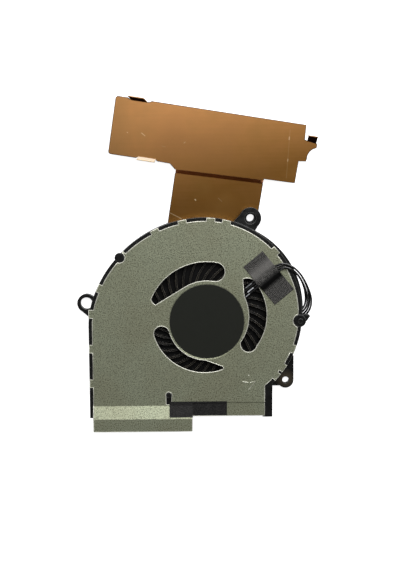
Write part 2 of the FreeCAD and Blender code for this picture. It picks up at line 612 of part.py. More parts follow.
def shaft_end():
    """Height of the shaft's free end, just under the thrust pad."""
    return size("frame_top") - size("pan_depth") - size("flange_height") - size("shaft_end_gap")


def blade_outline():
    """Plan view of one backward-curved blade, thinned to its tip."""
    half = 0.5 * size("blade_thickness")
    stations = [(size("hub_radius") - 0.3, 0.0), (size("blade_middle_radius"), -size("blade_middle_lag")),
                (size("impeller_radius"), -size("blade_lag"))]
    sides = []
    for sign in (1, -1):
        points = []
        for radius, angle in stations:
            spread = math.degrees(sign * half / radius) * 1.25
            points.append(polar(radius, angle + spread))
        sides.append(points)
    first, second = sides
    return [three_point(*first), three_point(*second), Part.LineSegment(first[0], second[0]),
            Part.LineSegment(first[2], second[2])]


def bearing():
    """Brass tube on the plate, sintered sleeve, thrust pad and retaining ring."""
    seat = size("frame_top") - size("pan_depth")
    tube, sleeve = size("tube_radius"), size("sleeve_radius")
    floor = seat - size("flange_height") + size("pad_height")
    turned("bearing_housing", [(sleeve, size("tube_bottom")), (tube, size("tube_bottom")),
                               (tube, seat - size("flange_height")),
                               (size("tube_flange"), seat - size("flange_height")),
                               (size("tube_flange"), seat), (0, seat),
                               (0, floor), (sleeve, floor)])
    pad_low = floor - size("pad_height")
    turned("thrust_pad", [(0, pad_low), (sleeve, pad_low), (sleeve, floor), (0, floor)])
    end = shaft_end()
    groove_top = end - size("groove_below_end")
    ring_low = groove_top - 0.75 * size("groove_height")
    ring_top = groove_top - 0.25 * size("groove_height")
    neck = size("shaft_radius") - size("groove_depth") + size("ring_clearance")
    turned("retaining_ring", [(neck, ring_low), (sleeve, ring_low), (sleeve, ring_top), (neck, ring_top)])
    bore = size("shaft_radius") + size("bearing_clearance")
    turned("bearing_sleeve", [(bore, size("tube_bottom") + 0.2), (sleeve, size("tube_bottom") + 0.2),
                              (sleeve, ring_low), (bore, ring_low)])


def stator(magnet_inner):
    """Slotted core on the bearing tube, with its insulator and one coil on each tooth."""
    reach = magnet_inner - size("air_gap")
    low, height = size("core_bottom"), size("core_height")
    core = Design("stator_core")
    core.pad(core.circles([("0", "0", "core_ring"), ("0", "0", "tube_radius")], "core_bottom"), "core_height")
    half = 0.5 * size("tooth_width")
    tooth = core.pad(core.sketch(rectangle(size("core_ring") - 0.5, -half,
                                           reach - 0.4 * size("shoe_thickness"), half),
                                 "core_bottom"), "core_height")
    shoe_angle = 180.0 / size("teeth") - math.degrees(0.5 * size("slot_width") / reach)
    shoe = core.pad(core.sketch(arc_segment(reach - size("shoe_thickness"), reach, shoe_angle),
                                "core_bottom"), "core_height")
    doc.recompute()
    pattern = core.body.newObject("PartDesign::PolarPattern", "tooth_ring")
    pattern.Originals = [tooth, shoe]
    axis = next(item for item in core.body.Origin.OriginFeatures if item.Role == "Z_Axis")
    pattern.Axis = (axis, [""])
    pattern.Angle = 360
    pattern.setExpression("Occurrences", "sizes.teeth")
    core.body.Tip = pattern

    skin, build = size("insulator_skin"), size("coil_build")
    inner, outer = size("coil_inner"), size("coil_outer")
    count = int(size("teeth"))

    def sleeve_box(grow, start, stop):
        wide, tall = half + grow, height + 2 * grow
        return Part.makeBox(stop - start, 2 * wide, tall, Vector(start, -wide, low - grow))

    wraps, coils = [], []
    for index in range(count):
        turn = Rotation(Vector(0, 0, 1), 360.0 * index / count)
        wrap = sleeve_box(skin, size("core_ring"), outer + 0.3).cut(sleeve_box(0.0, 0.0, outer + 1))
        wraps.append(wrap.transformed(Placement(Vector(), turn).toMatrix()))
        gap = size("coil_gap")
        coil = sleeve_box(skin + gap + build, inner, outer).cut(sleeve_box(skin + gap, inner - 1, outer + 1))
        level = [edge for edge in coil.Edges if abs(edge.Length - (outer - inner)) < 1e-6]
        upright = [edge for edge in level if edge_outside(edge, half + skin + gap)]
        coil = coil.makeFillet(0.8 * build, upright)
        coils.append(coil.transformed(Placement(Vector(), turn).toMatrix()))
    collar_outer, collar_inner = size("core_ring") + skin, size("tube_radius")
    for level in (low - skin, low + height):
        collar = Part.makeCylinder(collar_outer, skin, Vector(0, 0, level)).cut(
            Part.makeCylinder(collar_inner, skin, Vector(0, 0, level)))
        wraps.append(collar)
    insulator = wraps[0].multiFuse(wraps[1:]).removeSplitter()
    shape_piece("stator_insulator", insulator)
    shape_piece("stator_coils", Part.makeCompound(coils))


def edge_outside(edge, half):
    """True for an edge on the outer corner of a coil."""
    return all(abs(vertex.Y) > half + 0.1 for vertex in edge.Vertexes)


def arc_segment(inner, outer, half_angle):
    """Closed outline of a ring segment centred on +X."""
    ends = [[polar(radius, angle) for angle in (-half_angle, 0, half_angle)] for radius in (inner, outer)]
    return [three_point(*ends[0]), three_point(*ends[1]), Part.LineSegment(ends[0][0], ends[1][0]),
            Part.LineSegment(ends[0][2], ends[1][2])]


def shape_piece(label, shape):
    """A Part::Feature for a form that neither bodies nor primitives suit."""
    piece = doc.addObject("Part::Feature", label)
    piece.Shape = shape
    named(piece, label)
    return piece


def board_level():
    """Top of the motor board, just under the plate's pan."""
    return size("frame_top") - size("pan_depth") - size("board_gap")


def board():
    """Ring-shaped motor board with its driver chip."""
    part = Design("motor_board")
    level = "frame_top - pan_depth - board_gap - board_thickness"
    part.pad(part.circles([("0", "0", "board_radius"), ("0", "0", "board_hole")], level), "board_thickness")
    chip = doc.addObject("Part::Box", "chip")
    chip.setExpression("Length", "sizes.chip_length")
    chip.setExpression("Width", "sizes.chip_width")
    chip.setExpression("Height", "sizes.chip_height")
    turn = size("chip_turn")
    centre = polar(size("chip_reach"), turn)
    across = Rotation(Vector(0, 0, 1), turn).multVec(Vector(-0.5 * size("chip_length"),
                                                            -0.5 * size("chip_width"), 0))
    low = board_level() - size("board_thickness") - size("chip_height")
    chip.Placement = Placement(Vector(centre.x + across.x, centre.y + across.y, low),
                               Rotation(Vector(0, 0, 1), turn))
    named(chip, "driver_chip")


def label_and_tapes():
    """Round label in the pan, cloth tape over the leads and tape strip at the outlet."""
    label = Design("motor_label")
    label.pad(label.circles([("0", "0", "label_radius")], "frame_top + plate_thickness - pan_depth"),
              "label_thickness")

    # the cloth tape lies flat on the plate at both ends and humps over the leads
    half, hump, flat = 0.5 * size("tape_length"), 0.5 * size("tape_hump"), 0.5 * size("hump_flat")
    shift, rise = size("hump_shift"), size("lead_diameter") + size("tape_slack")
    line = [(-half, plate_top), (shift - hump, plate_top), (shift - flat, plate_top + rise),
            (shift + flat, plate_top + rise),
            (shift + hump, plate_top), (half, plate_top)]
    tape = Part.Face(Part.Wire([edge.toShape() for edge in sheet_profile(line, size("tape_thickness"))]))
    tape = tape.extrude(Vector(0, 0, size("tape_width")))
    upright = Placement(Vector(0, 0, 0), Rotation(Vector(1, 0, 0), 90))
    tape = tape.transformed(upright.toMatrix())
    tape.translate(Vector(0, 0.5 * size("tape_width"), 0))
    turn = Placement(Vector(size("tape_x"), size("tape_y"), 0),
                     Rotation(Vector(0, 0, 1), size("tape_turn") - 90))
    shape_piece("wire_tape", tape.transformed(turn.toMatrix()))

    strip = Design("outlet_tape")
    strip.pad(strip.sketch(tape_on_shelf(), "lip_right + shelf_gap", "YZ_Plane"),
              "outlet_tape_right - lip_right - shelf_gap")
    strip.pad(strip.sketch(tape_on_lip(), "outlet_tape_left", "YZ_Plane"),
              "lip_right + shelf_gap - outlet_tape_left")


def tape_on_shelf():
    """Side view of the outlet tape over the shelf."""
    upper = offset_line(shelf_line(), size("plate_thickness"))
    start = (size("step_y") + size("outlet_tape_lap"), plate_top)
    end = (size("outlet_tape_end") + 0.5, upper[2][1])
    return sheet_profile([start, upper[1], upper[2], end], size("outlet_tape_thickness"))


def tape_on_lip():
    """Side view of the outlet tape over the lip's slope."""
    upper = offset_line(lip_line(), size("plate_thickness"))
    slope = (upper[2][1] - upper[1][1]) / (upper[2][0] - upper[1][0])
    end = size("outlet_tape_end")
    line = [(size("step_y") + size("outlet_tape_lap"), plate_top), upper[1],
            (end, plate_top + slope * (end - upper[1][0]))]
    return sheet_profile(line, size("outlet_tape_thickness"))


def spreader():
    """Folded copper sheet: plan outline cut through a joggled profile, with three bent-up tabs."""
    turn = Rotation(Vector(0, 0, 1), size("spreader_turn"))
    thickness = size("copper_thickness")
    top_bar = size("stem_top") + size("bar_lift") - thickness
    low_stem = size("stem_top") - thickness
    fold, run = size("fold_v"), size("fold_run")
    line = [(size("stem_end") - 5, low_stem), (fold - run, low_stem), (fold, top_bar),
            (size("bar_high") + 15, top_bar)]
    profile = Part.Face(Part.Wire([edge.toShape() for edge in sheet_profile(line, thickness)]))
    # the profile is drawn in Y and Z, and pulled along X far past both ends of the bar
    upright = Placement(Vector(), Rotation(Vector(0, 1, 0), 90) * Rotation(Vector(0, 0, 1), 90))
    profile = profile.transformed(upright.toMatrix())
    profile.translate(Vector(-80, 0, 0))
    folded = profile.extrude(Vector(160, 0, 0))
    skew = Placement(Vector(), Rotation(Vector(0, 0, 1), size("fold_skew")), Vector(-4, fold, 0))
    folded = folded.transformed(skew.toMatrix())

    plan = Part.Face(Part.Wire(Part.sortEdges([edge.toShape() for edge in spreader_plan()])[0]))
    prism = plan.extrude(Vector(0, 0, 12))
    sheet_metal = folded.common(prism)
    notch = turn.inverted().multVec(Vector(size("tall_ear_x"), size("tall_ear_y"), 0))
    hole = Part.makeCylinder(size("tall_ear_foot") + size("ear_clearance"), 12, notch)
    sheet_metal = sheet_metal.cut(hole)
    for tab in spreader_tabs(top_bar, thickness):
        sheet_metal = sheet_metal.fuse(tab)
    sheet_metal = sheet_metal.removeSplitter()
    shape_piece("heat_spreader", sheet_metal.transformed(Placement(Vector(), turn).toMatrix()))

    pad = Part.makeBox(size("adhesive_right") - size("adhesive_left"),
                       size("adhesive_high") - size("adhesive_low"),
                       size("ear_foot_gap") - size("stem_top"),
                       Vector(size("adhesive_left"), size("adhesive_low"), size("stem_top")))
    shape_piece("spreader_adhesive", pad.transformed(Placement(Vector(), turn).toMatrix()))


def spreader_plan():
    """Plan outline of the copper sheet, square to its bar."""
    left, right, low, high = size("bar_left"), size("bar_right"), size("bar_low"), size("bar_high")
    stem_left, stem_right, end = size("stem_left"), size("stem_right"), size("stem_end")
    arm_high, tip, tip_low, arm_low = size("arm_high"), size("arm_tip"), size("arm_tip_low"), size("arm_low")
    notch = 0.6
    before = [(left + 0.6, high), (-44.4, high), (-42.9, high - notch), (-35.6, high - notch), (-34.6, high),
              (right + 0.4, high),
              (right + 0.7, arm_high), (tip, arm_high - 0.9), (tip, tip_low)]
    hollow_end = (right + 2.7, arm_low + 1.0)
    after = [hollow_end, (right + 2.5, arm_low), (right - 0.4, arm_low - 0.3), (size("corner_u"), low - 0.3),
             (stem_right, low - 0.5), (stem_right, end), (stem_left, end), (stem_left, size("shelf_low")),
             (size("shelf_left"), low), (-29.2, low + 0.1), (-29.6, low + 0.6), (-37.2, low + 0.6),
             (-37.8, low + 0.2),
             (left + 0.8, low + 0.2), (left + 0.1, low + 0.7), (left, high - 0.6), (left + 0.6, high)]
    hollow = three_point(Vector(tip, tip_low, 0), Vector(right + 3.8, arm_low + 4.6, 0),
                         Vector(*hollow_end, 0))
    edges = [Part.LineSegment(Vector(*a, 0), Vector(*b, 0)) for path in (before, after) for a,
             b in zip(path, path[1:])]
    return edges + [hollow]


def spreader_tabs(level, thickness):
    """Three small tabs bent up from the bar's edges, each leaning outwards."""
    lift, lean = size("tab_lift"), size("tab_lean")
    bar_high, bar_low, arm_high = size("bar_high") - 0.6, size("bar_low") + 0.6, size("arm_high") - 0.5
    right = size("bar_right")
    places = [((-42.4, bar_high), (-36.1, bar_high), Vector(-1.9, lean, lift)),
              ((-37.0, bar_low), (-29.8, bar_low), Vector(-0.3, -0.9 * lean, lift)),
              ((right + 1.8, arm_high), (right + 5.6, arm_high), Vector(0.0, 1.8 * lean, lift))]
    tabs = []
    for start, end, lift_vector in places:
        a, b = Vector(*start, level), Vector(*end, level)
        inward = Vector(0, -math.copysign(thickness, lift_vector.y), 0)
        foot = Part.Face(Part.makePolygon([a, b, b + inward, a + inward, a]))
        tabs.append(foot.extrude(lift_vector))
    return tabs


LEAD_ROUTE = [
    # place, and how far the flat row of leads is bunched two by two
    # from the motor board through a window, under the tape and over the rim
    (10.45, 7.20, 9.70, 0.0), (13.20, 9.60, 9.70, 0.0), (16.20, 12.20, 10.15, 0.0),
    (19.90, 15.35, 11.80, 0.0),
    (23.90, 18.55, 11.68, 0.0), (27.60, 21.30, 11.62, 0.15), (31.00, 22.60, 12.10, 0.55),
    (34.60, 21.30, 11.95, 1.0),
    # round outside the rim, down past the hook
    (37.60, 18.00, 10.90, 1.0), (39.70, 13.80, 9.50, 0.9), (41.00, 9.60, 7.40, 0.5), (41.30, 5.90, 4.40, 0.3),
    (40.50, 3.00, 1.40, 0.0), (38.20, 0.90, 0.75, 0.0),
    # in under the inlet cover and along the frame to the plug
    (35.20, -3.20, 0.80, 0.0), (31.00, -11.00, 0.85, 0.0), (24.80, -19.40, 0.80, 0.0),
    (15.40, -26.20, 0.85, 0.0),
    (6.20, -29.60, 0.80, 0.0),
]


def lead_points(index):
    """Route of one lead: beside its neighbours, or two by two where the leads are bunched."""
    pitch = size("lead_pitch")
    pair, place_in_pair = (index // 2 - 0.5) * pitch, (index % 2 - 0.5) * pitch
    route = [Vector(*point[:3]) for point in LEAD_ROUTE]
    moved = []
    for i, (point, (_, _, _, bunch)) in enumerate(zip(route, LEAD_ROUTE)):
        before, after = route[max(i - 1, 0)], route[min(i + 1, len(route) - 1)]
        run = after - before
        side = Vector(-run.y, run.x, 0).normalize()
        above = run.cross(side).normalize()
        turn = math.radians(90 * bunch)
        sideways = pair * (2.1 - bunch) + place_in_pair * math.cos(turn)
        moved.append(point + side * sideways + above * (place_in_pair * math.sin(turn)))
    return moved


def rounded_path(points):
    """Straight runs joined by tangent arcs, each as large as its two runs allow."""
    edges, radii = [], []
    start = points[0]
    for before, corner, after in zip(points, points[1:], points[2:]):
        run_in, run_out = corner - before, after - corner
        turn = run_in.getAngle(run_out)
        trim = 0.45 * min(run_in.Length, run_out.Length)
        radii.append(trim / math.tan(0.5 * turn))
        first = corner - Vector(run_in).normalize() * trim
        last = corner + Vector(run_out).normalize() * trim
        toward = (first + last) * 0.5 - corner
        reach = radii[-1] / math.cos(0.5 * turn) - radii[-1]
        middle = corner + toward.normalize() * reach
        edges.append(Part.LineSegment(start, first).toShape())
        edges.append(Part.Arc(first, middle, last).toShape())
        start = last
    edges.append(Part.LineSegment(start, points[-1]).toShape())
    return Part.Wire(edges), radii


def leads():
    """Four leads side by side, from the motor board to the plug."""
    radius = 0.5 * size("lead_diameter")
    for index in range(4):
        path, radii = rounded_path(lead_points(index))
        # an eight-sided section of the round lead's area keeps the long thin tubes light
        corner = radius * math.sqrt(math.pi / (4 * math.sin(math.radians(45))))
        start = path.Edges[0].firstVertex().Point
        frame = Rotation(Vector(0, 0, 1), path.Edges[0].tangentAt(path.Edges[0].FirstParameter))
        ring = Part.makePolygon([start + frame.multVec(polar(corner, 22.5 + 45 * i)) for i in range(9)])
        tube = path.makePipeShell([ring], True, False)
        expected = math.pi * radius ** 2 * path.Length
        ratio = tube.Volume / expected
        print(f"lead {index + 1}: length {path.Length:.1f}, tightest arc {min(radii):.2f}, volume ratio {ratio:.4f}")
        shape_piece(f"lead_wire_{index + 1}", tube)


def plug():
    """Flat four-way plug with its contacts, at the end of the leads."""
    last, before = Vector(*LEAD_ROUTE[-1][:3]), Vector(*LEAD_ROUTE[-2][:3])
    run = last - before
    heading = math.degrees(math.atan2(run.y, run.x))
    length, width, height = size("plug_length"), size("plug_width"), size("plug_height")
    block = Part.makeBox(length, width, height, Vector(0, -0.5 * width, size("plug_bottom")))
    uprights = [edge for edge in block.Edges if abs(edge.Length - height) < 1e-6]
    block = block.makeChamfer(0.3, uprights)
    pitch, contact, depth = size("contact_pitch"), size("contact_width"), size("contact_depth")
    top = size("plug_bottom") + height
    contacts = []
    for index in range(4):
        y = (index - 1.5) * pitch
        pin = Part.makeBox(0.7 * length, contact, depth, Vector(0.2 * length, y - 0.5 * contact, top - depth))
        block = block.cut(pin)
        contacts.append(pin)
    for y in (-0.5 * width, 0.5 * width - 0.3):
        rib = Part.makeBox(0.4 * length, 0.3, 0.4 * height, Vector(0.5 * length, y, size("plug_bottom")))
        block = block.cut(rib)
    face = last + run * (size("plug_clearance") / run.Length)
    turn = Placement(Vector(face.x, face.y, 0), Rotation(Vector(0, 0, 1), heading))
    shape_piece("connector_housing", block.transformed(turn.toMatrix()))
    shape_piece("connector_contacts", Part.makeCompound(contacts).transformed(turn.toMatrix()))


def export():
    """Check every object and write one STEP file for each sub-part."""
    doc.recompute()
    for item in doc.Objects:
        if {"Invalid", "Error"} & set(item.State):
            raise RuntimeError(f"{item.Name} failed: {item.State}")
    os.makedirs("parts", exist_ok=True)
    for piece in PIECES:
        if piece.Shape.isNull() or not piece.Shape.isValid():
            raise RuntimeError(f"{piece.Label} has no valid shape")
        piece.Shape.exportStep(os.path.join("parts", f"{piece.Label}.step"))
    print(f"{len(PIECES)} sub-parts written")


base_plate()
frame()
inlet_cover()
magnet_bore = rotor()
bearing()
stator(magnet_bore)
board()
label_and_tapes()
spreader()
leads()
plug()
export()
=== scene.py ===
"""Studio picture of a flat laptop blower with its folded copper heat spreader."""
from __future__ import annotations

import logging
import math
from dataclasses import dataclass, field
from enum import Enum

import bmesh
import bpy
from mathutils import Matrix, Vector

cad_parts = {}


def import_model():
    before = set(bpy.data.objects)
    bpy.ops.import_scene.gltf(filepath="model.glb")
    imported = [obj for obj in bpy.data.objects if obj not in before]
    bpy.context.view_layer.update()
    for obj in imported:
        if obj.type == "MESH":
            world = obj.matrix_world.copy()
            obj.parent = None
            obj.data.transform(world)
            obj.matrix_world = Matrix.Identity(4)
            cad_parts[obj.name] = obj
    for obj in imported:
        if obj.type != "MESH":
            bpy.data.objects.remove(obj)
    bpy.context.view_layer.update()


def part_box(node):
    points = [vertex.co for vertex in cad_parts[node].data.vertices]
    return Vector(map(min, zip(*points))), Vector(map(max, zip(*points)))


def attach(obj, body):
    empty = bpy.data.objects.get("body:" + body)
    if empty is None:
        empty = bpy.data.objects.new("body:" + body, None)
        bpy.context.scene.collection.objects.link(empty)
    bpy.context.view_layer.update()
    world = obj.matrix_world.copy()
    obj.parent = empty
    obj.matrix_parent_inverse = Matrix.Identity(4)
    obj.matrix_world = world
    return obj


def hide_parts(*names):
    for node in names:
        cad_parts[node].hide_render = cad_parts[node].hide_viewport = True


log = logging.getLogger("blower")

MM = 0.001
WHITE = (1.0, 1.0, 1.0, 1.0)

Socket = bpy.types.NodeSocket
Colour = tuple[float, float, float, float]


def linear(red: int, green: int, blue: int) -> Colour:
    """Turn an 8-bit display colour into Blender's linear colour.

    Args:
        red: Red, 0 to 255.
        green: Green, 0 to 255.
        blue: Blue, 0 to 255.

    Returns:
        Linear red, green and blue, with an alpha of one.
    """
    def channel(value: int) -> float:
        """Undo the display's curve for one channel."""
        share = value / 255
        return share / 12.92 if share <= 0.04045 else ((share + 0.055) / 1.055) ** 2.4
    return channel(red), channel(green), channel(blue), 1.0


class Shade(Enum):
    """Base colours of the blower's finishes."""

    FRAME_BLACK = linear(20, 20, 20)
    PLATE_OLIVE = linear(192, 198, 169)
    PLATE_DARK = linear(142, 146, 125)
    PLATE_STAIN = linear(150, 144, 116)
    COPPER_BRIGHT = linear(228, 164, 103)
    # copper where the painted shade is full, towards the fan
    COPPER_DULL = linear(150, 105, 50)
    COPPER_OLIVE = linear(150, 122, 78)
    COPPER_RED = linear(255, 176, 122)
    # painted glint on the leads
    GLINT = linear(226, 230, 234)
    WORN = linear(92, 82, 64)
    LABEL = linear(26, 28, 22)
    # scratches on the copper, and painted highlights on its crease and a tab
    SHEARED = linear(236, 236, 222)
    SCRATCH_AND_HIGHLIGHT = linear(255, 226, 178)
    # dark oxide on the copper's cut edges, and painted shade on the far tabs
    OXIDE_AND_SHADE = linear(46, 26, 24)
    # painted highlight on copper faces turned up towards the bar
    TAB_GLARE = linear(236, 228, 210)
    COPPER_EDGE = linear(70, 46, 26)
    # painted highlight on the frame's edges
    FRAME_EDGE_HIGHLIGHT = linear(78, 80, 78)
    # painted highlight on the blades' edges
    BLADE_EDGE_HIGHLIGHT = linear(98, 91, 78)
    CLOTH = linear(54, 53, 52)
    CLOTH_PALE = linear(112, 110, 107)
    # painted shade on the tape's flank
    FLANK_SHADE = linear(3, 3, 3)
    JET = linear(10, 10, 10)
    STEEL = linear(150, 150, 152)
    BRASS = linear(190, 158, 92)
    NYLON = linear(222, 216, 196)
    ENAMEL = linear(168, 92, 48)
    ENAMEL_DARK = linear(70, 34, 18)
    BOARD = linear(28, 84, 48)
    FERRITE = linear(62, 60, 58)
    FILM = linear(176, 172, 160)
    BRONZE = linear(150, 118, 78)
    FLOOR = linear(246, 246, 246)


class Graph:
    """Small helper that lays down the nodes of one material."""

    def __init__(self, name: str) -> None:
        """Start an empty material with a Principled shader.

        Args:
            name: Name of the material.
        """
        self.material = bpy.data.materials.new(name)
        self.material.use_nodes = True
        self.tree = self.material.node_tree
        self.shader = self.tree.nodes["Principled BSDF"]
        self.place = self.node("ShaderNodeTexCoord").outputs["Object"]

    def node(self, kind: str, **values: object) -> bpy.types.Node:
        """Add a node and set its plain properties.

        Args:
            kind: Type of the node.
            **values: Properties to set on it.

        Returns:
            The new node.
        """
        made = self.tree.nodes.new(kind)
        for key, value in values.items():
            setattr(made, key, value)
        return made

    def link(self, source: Socket, target: Socket) -> None:
        """Join two sockets.

        Args:
            source: The output socket.
            target: The input socket.
        """
        self.tree.links.new(source, target)

    def noise(self, per_mm: float, detail: float = 3.0, stretch: tuple[float, float, float] = (1, 1, 1),
              turn: float = 0.0) -> Socket:
        """Noise in the object's own space.

        Args:
            per_mm: Noise cells in each millimetre.
            detail: Octaves of detail.
            stretch: How the cells are squeezed along X, Y and Z.
            turn: Turn of the pattern about Z, in degrees.

        Returns:
            The noise's factor socket.
        """
        mapping = self.node("ShaderNodeMapping")
        mapping.inputs["Scale"].default_value = stretch
        mapping.inputs["Rotation"].default_value = (0, 0, math.radians(turn))
        texture = self.node("ShaderNodeTexNoise")
        texture.inputs["Scale"].default_value = per_mm / MM
        texture.inputs["Detail"].default_value = detail
        self.link(self.place, mapping.inputs["Vector"])
        self.link(mapping.outputs["Vector"], texture.inputs["Vector"])
        return texture.outputs["Fac"]

    def along(self, angle: float, start_mm: float, stop_mm: float) -> Socket:
        """Share of the way along a level direction in the object's own space.

        Args:
            angle: Direction in degrees from +X towards +Y.
            start_mm: Millimetres along it where the share is none.
            stop_mm: Millimetres along it where the share is whole.

        Returns:
            The share's socket.
        """
        turn = math.radians(angle)
        reach = self.node("ShaderNodeVectorMath", operation="DOT_PRODUCT")
        self.link(self.place, reach.inputs[0])
        reach.inputs[1].default_value = (math.cos(turn), math.sin(turn), 0.0)
        return self.between(reach.outputs["Value"], 0.0, 1.0, start_mm * MM, stop_mm * MM)

    def stroke(self, start: Vector, stop: Vector, width_mm: float) -> Socket:
        """Fine straight mark on a level sheet, in the object's own space.

        Args:
            start: One end in metres.
            stop: Other end in metres.
            width_mm: Half width of the mark.

        Returns:
            One on the mark and none beside it.
        """
        run = Vector((stop.x - start.x, stop.y - start.y, 0.0))
        offset = self.node("ShaderNodeVectorMath", operation="SUBTRACT")
        self.link(self.place, offset.inputs[0])
        offset.inputs[1].default_value = (start.x, start.y, 0.0)
        level = self.node("ShaderNodeVectorMath", operation="MULTIPLY")
        self.link(offset.outputs["Vector"], level.inputs[0])
        level.inputs[1].default_value = (1.0, 1.0, 0.0)
        reach = self.node("ShaderNodeVectorMath", operation="DOT_PRODUCT")
        self.link(level.outputs["Vector"], reach.inputs[0])
        reach.inputs[1].default_value = run / run.length_squared
        foot = self.node("ShaderNodeVectorMath", operation="SCALE")
        foot.inputs[0].default_value = run
        self.link(self.between(reach.outputs["Value"], 0.0, 1.0, 0.0, 1.0), foot.inputs["Scale"])
        gap = self.node("ShaderNodeVectorMath", operation="DISTANCE")
        self.link(level.outputs["Vector"], gap.inputs[0])
        self.link(foot.outputs["Vector"], gap.inputs[1])
        return self.between(gap.outputs["Value"], 1.0, 0.0, 0.3 * width_mm * MM, width_mm * MM)

    def mark(self, fan: FanPlace, marks: tuple[tuple[float, ...], ...], colour: Socket,
             shade: Shade) -> Socket:
        """Draw strokes over a colour.

        Args:
            fan: Place of the fan axis.
            marks: Ends of each stroke in millimetres about the axis, its half width and its strength.
            colour: The colour below.
            shade: Colour of the strokes.

        Returns:
            The new colour's socket.
        """
        for x0, y0, x1, y1, width, strength in marks:
            line = self.stroke(fan.at(x0, y0, 0), fan.at(x1, y1, 0), width)
            colour = self.blend(self.between(line, 0.0, strength, 0.0, 1.0), colour, shade.value)
        return colour

    def facing(self, direction: tuple[float, float, float], start: float, stop: float) -> Socket:
        """How far the surface faces a direction.

        Args:
            direction: The direction, in the object's own space.
            start: Cosine that gives none.
            stop: Cosine that gives one.

        Returns:
            The share's socket.
        """
        cosine = self.node("ShaderNodeVectorMath", operation="DOT_PRODUCT")
        self.link(self.node("ShaderNodeTexCoord").outputs["Normal"], cosine.inputs[0])
        cosine.inputs[1].default_value = direction
        return self.between(cosine.outputs["Value"], 0.0, 1.0, start, stop)

    def between(self, factor: Socket, low: float, high: float, start: float = 0.35,
                stop: float = 0.65) -> Socket:
        """Spread a factor between two values.

        Args:
            factor: The socket to spread.
            low: Value at the start.
            high: Value at the stop.
            start: Factor that gives the low value.
            stop: Factor that gives the high value.

        Returns:
            The spread value's socket.
        """
        spread = self.node("ShaderNodeMapRange")
        for name, value in (("From Min", start), ("From Max", stop), ("To Min", low), ("To Max", high)):
            spread.inputs[name].default_value = value
        self.link(factor, spread.inputs["Value"])
        return spread.outputs["Result"]

    def blend(self, factor: Socket, first: Socket | Colour, second: Socket | Colour) -> Socket:
        """Mix two colours by a factor.

        Args:
            factor: Share of the second colour.
            first: A colour or a socket.
            second: A colour or a socket.

        Returns:
            The mixed colour's socket.
        """
        mix = self.node("ShaderNodeMix", data_type="RGBA")
        self.link(factor, mix.inputs["Factor"])
        for socket, value in ((mix.inputs[6], first), (mix.inputs[7], second)):
            if isinstance(value, Socket):
                self.link(value, socket)
            else:
                socket.default_value = value
        return mix.outputs[2]

    def multiply(self, first: Socket, second: Socket) -> Socket:
        """Multiply two values.

        Args:
            first: One value.
            second: The other value.

        Returns:
            The product's socket.
        """
        product = self.node("ShaderNodeMath", operation="MULTIPLY")
        self.link(first, product.inputs[0])
        self.link(second, product.inputs[1])
        return product.outputs[0]

    def add(self, first: Socket, second: Socket, share: float) -> Socket:
        """Add a share of one value to another.

        Args:
            first: The value that is kept whole.
            second: The value that is added.
            share: Share of the second value.

        Returns:
            The sum's socket.
        """
        total = self.node("ShaderNodeMath", operation="MULTIPLY_ADD")
        self.link(second, total.inputs[0])
        total.inputs[1].default_value = share
        self.link(first, total.inputs[2])
        return total.outputs[0]

    def bump(self, height: Socket, depth_mm: float, strength: float = 1.0, edge_mm: float = 0.0) -> None:
        """Raise the surface by a height map, over edges that may be a little rounded.

        Args:
            height: Height socket, about 0 to 1.
            depth_mm: Depth of the relief.
            strength: Share of the relief that shows.
            edge_mm: Radius of the edges.
        """
        relief = self.node("ShaderNodeBump")
        relief.inputs["Strength"].default_value = strength
        relief.inputs["Distance"].default_value = depth_mm * MM
        self.link(height, relief.inputs["Height"])
        if edge_mm > 0:
            rounded = self.node("ShaderNodeBevel", samples=6)
            rounded.inputs["Radius"].default_value = edge_mm * MM
            self.link(rounded.outputs["Normal"], relief.inputs["Normal"])
        self.link(relief.outputs["Normal"], self.shader.inputs["Normal"])

    def wave(self, pitch_mm: float, turn: float) -> Socket:
        """Parallel ribs in the object's own space.

        Args:
            pitch_mm: Distance between two ribs.
            turn: Turn of the ribs about Z, in degrees.

        Returns:
            The wave's factor socket.
        """
        mapping = self.node("ShaderNodeMapping")
        mapping.inputs["Rotation"].default_value = (0, 0, math.radians(turn))
        ribs = self.node("ShaderNodeTexWave", wave_type="BANDS", bands_direction="X", wave_profile="SIN")
        ribs.inputs["Scale"].default_value = math.pi / (10 * pitch_mm * MM)
        ribs.inputs["Distortion"].default_value = 0.4
        ribs.inputs["Detail Scale"].default_value = 4.0
        self.link(self.place, mapping.inputs["Vector"])
        self.link(mapping.outputs["Vector"], ribs.inputs["Vector"])
        return ribs.outputs["Fac"]

    def set(self, metallic: float, roughness: float, specular: float = 0.5, coat: float = 0.0) -> None:
        """Set the shader's plain numbers on its own sockets.

        Args:
            metallic: Share of metal.
            roughness: Roughness.
            specular: Specular level.
            coat: Weight of the clear coat.
        """
        self.shader.inputs["Metallic"].default_value = metallic
        self.shader.inputs["Roughness"].default_value = roughness
        self.shader.inputs["Specular IOR Level"].default_value = specular
        self.shader.inputs["Coat Weight"].default_value = coat


@dataclass
class FanPlace:
    """The fan axis' place in the frame, taken from the round motor label.

    Attributes:
        x: Place of the axis across, in metres.
        y: Place of the axis along, in metres.
        plate_top: Level of the plate's upper face, in metres.
    """

    x: float = field(init=False)
    y: float = field(init=False)
    plate_top: float = field(init=False)

    def __post_init__(self) -> None:
        """Read the boxes of the label and of the tape, which lies on the plate."""
        low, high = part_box("motor_label")
        self.x = 0.5 * (low[0] + high[0])
        self.y = 0.5 * (low[1] + high[1])
        self.plate_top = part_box("wire_tape")[0][2]

    def at(self, x: float, y: float, z: float) -> Vector:
        """Point given in millimetres about the fan axis.

        Args:
            x: Millimetres to the right of the axis.
            y: Millimetres towards the copper bar.
            z: Millimetres above the ears' feet.

        Returns:
            The point in metres.
        """
        return Vector((self.x + x * MM, self.y + y * MM, z * MM))


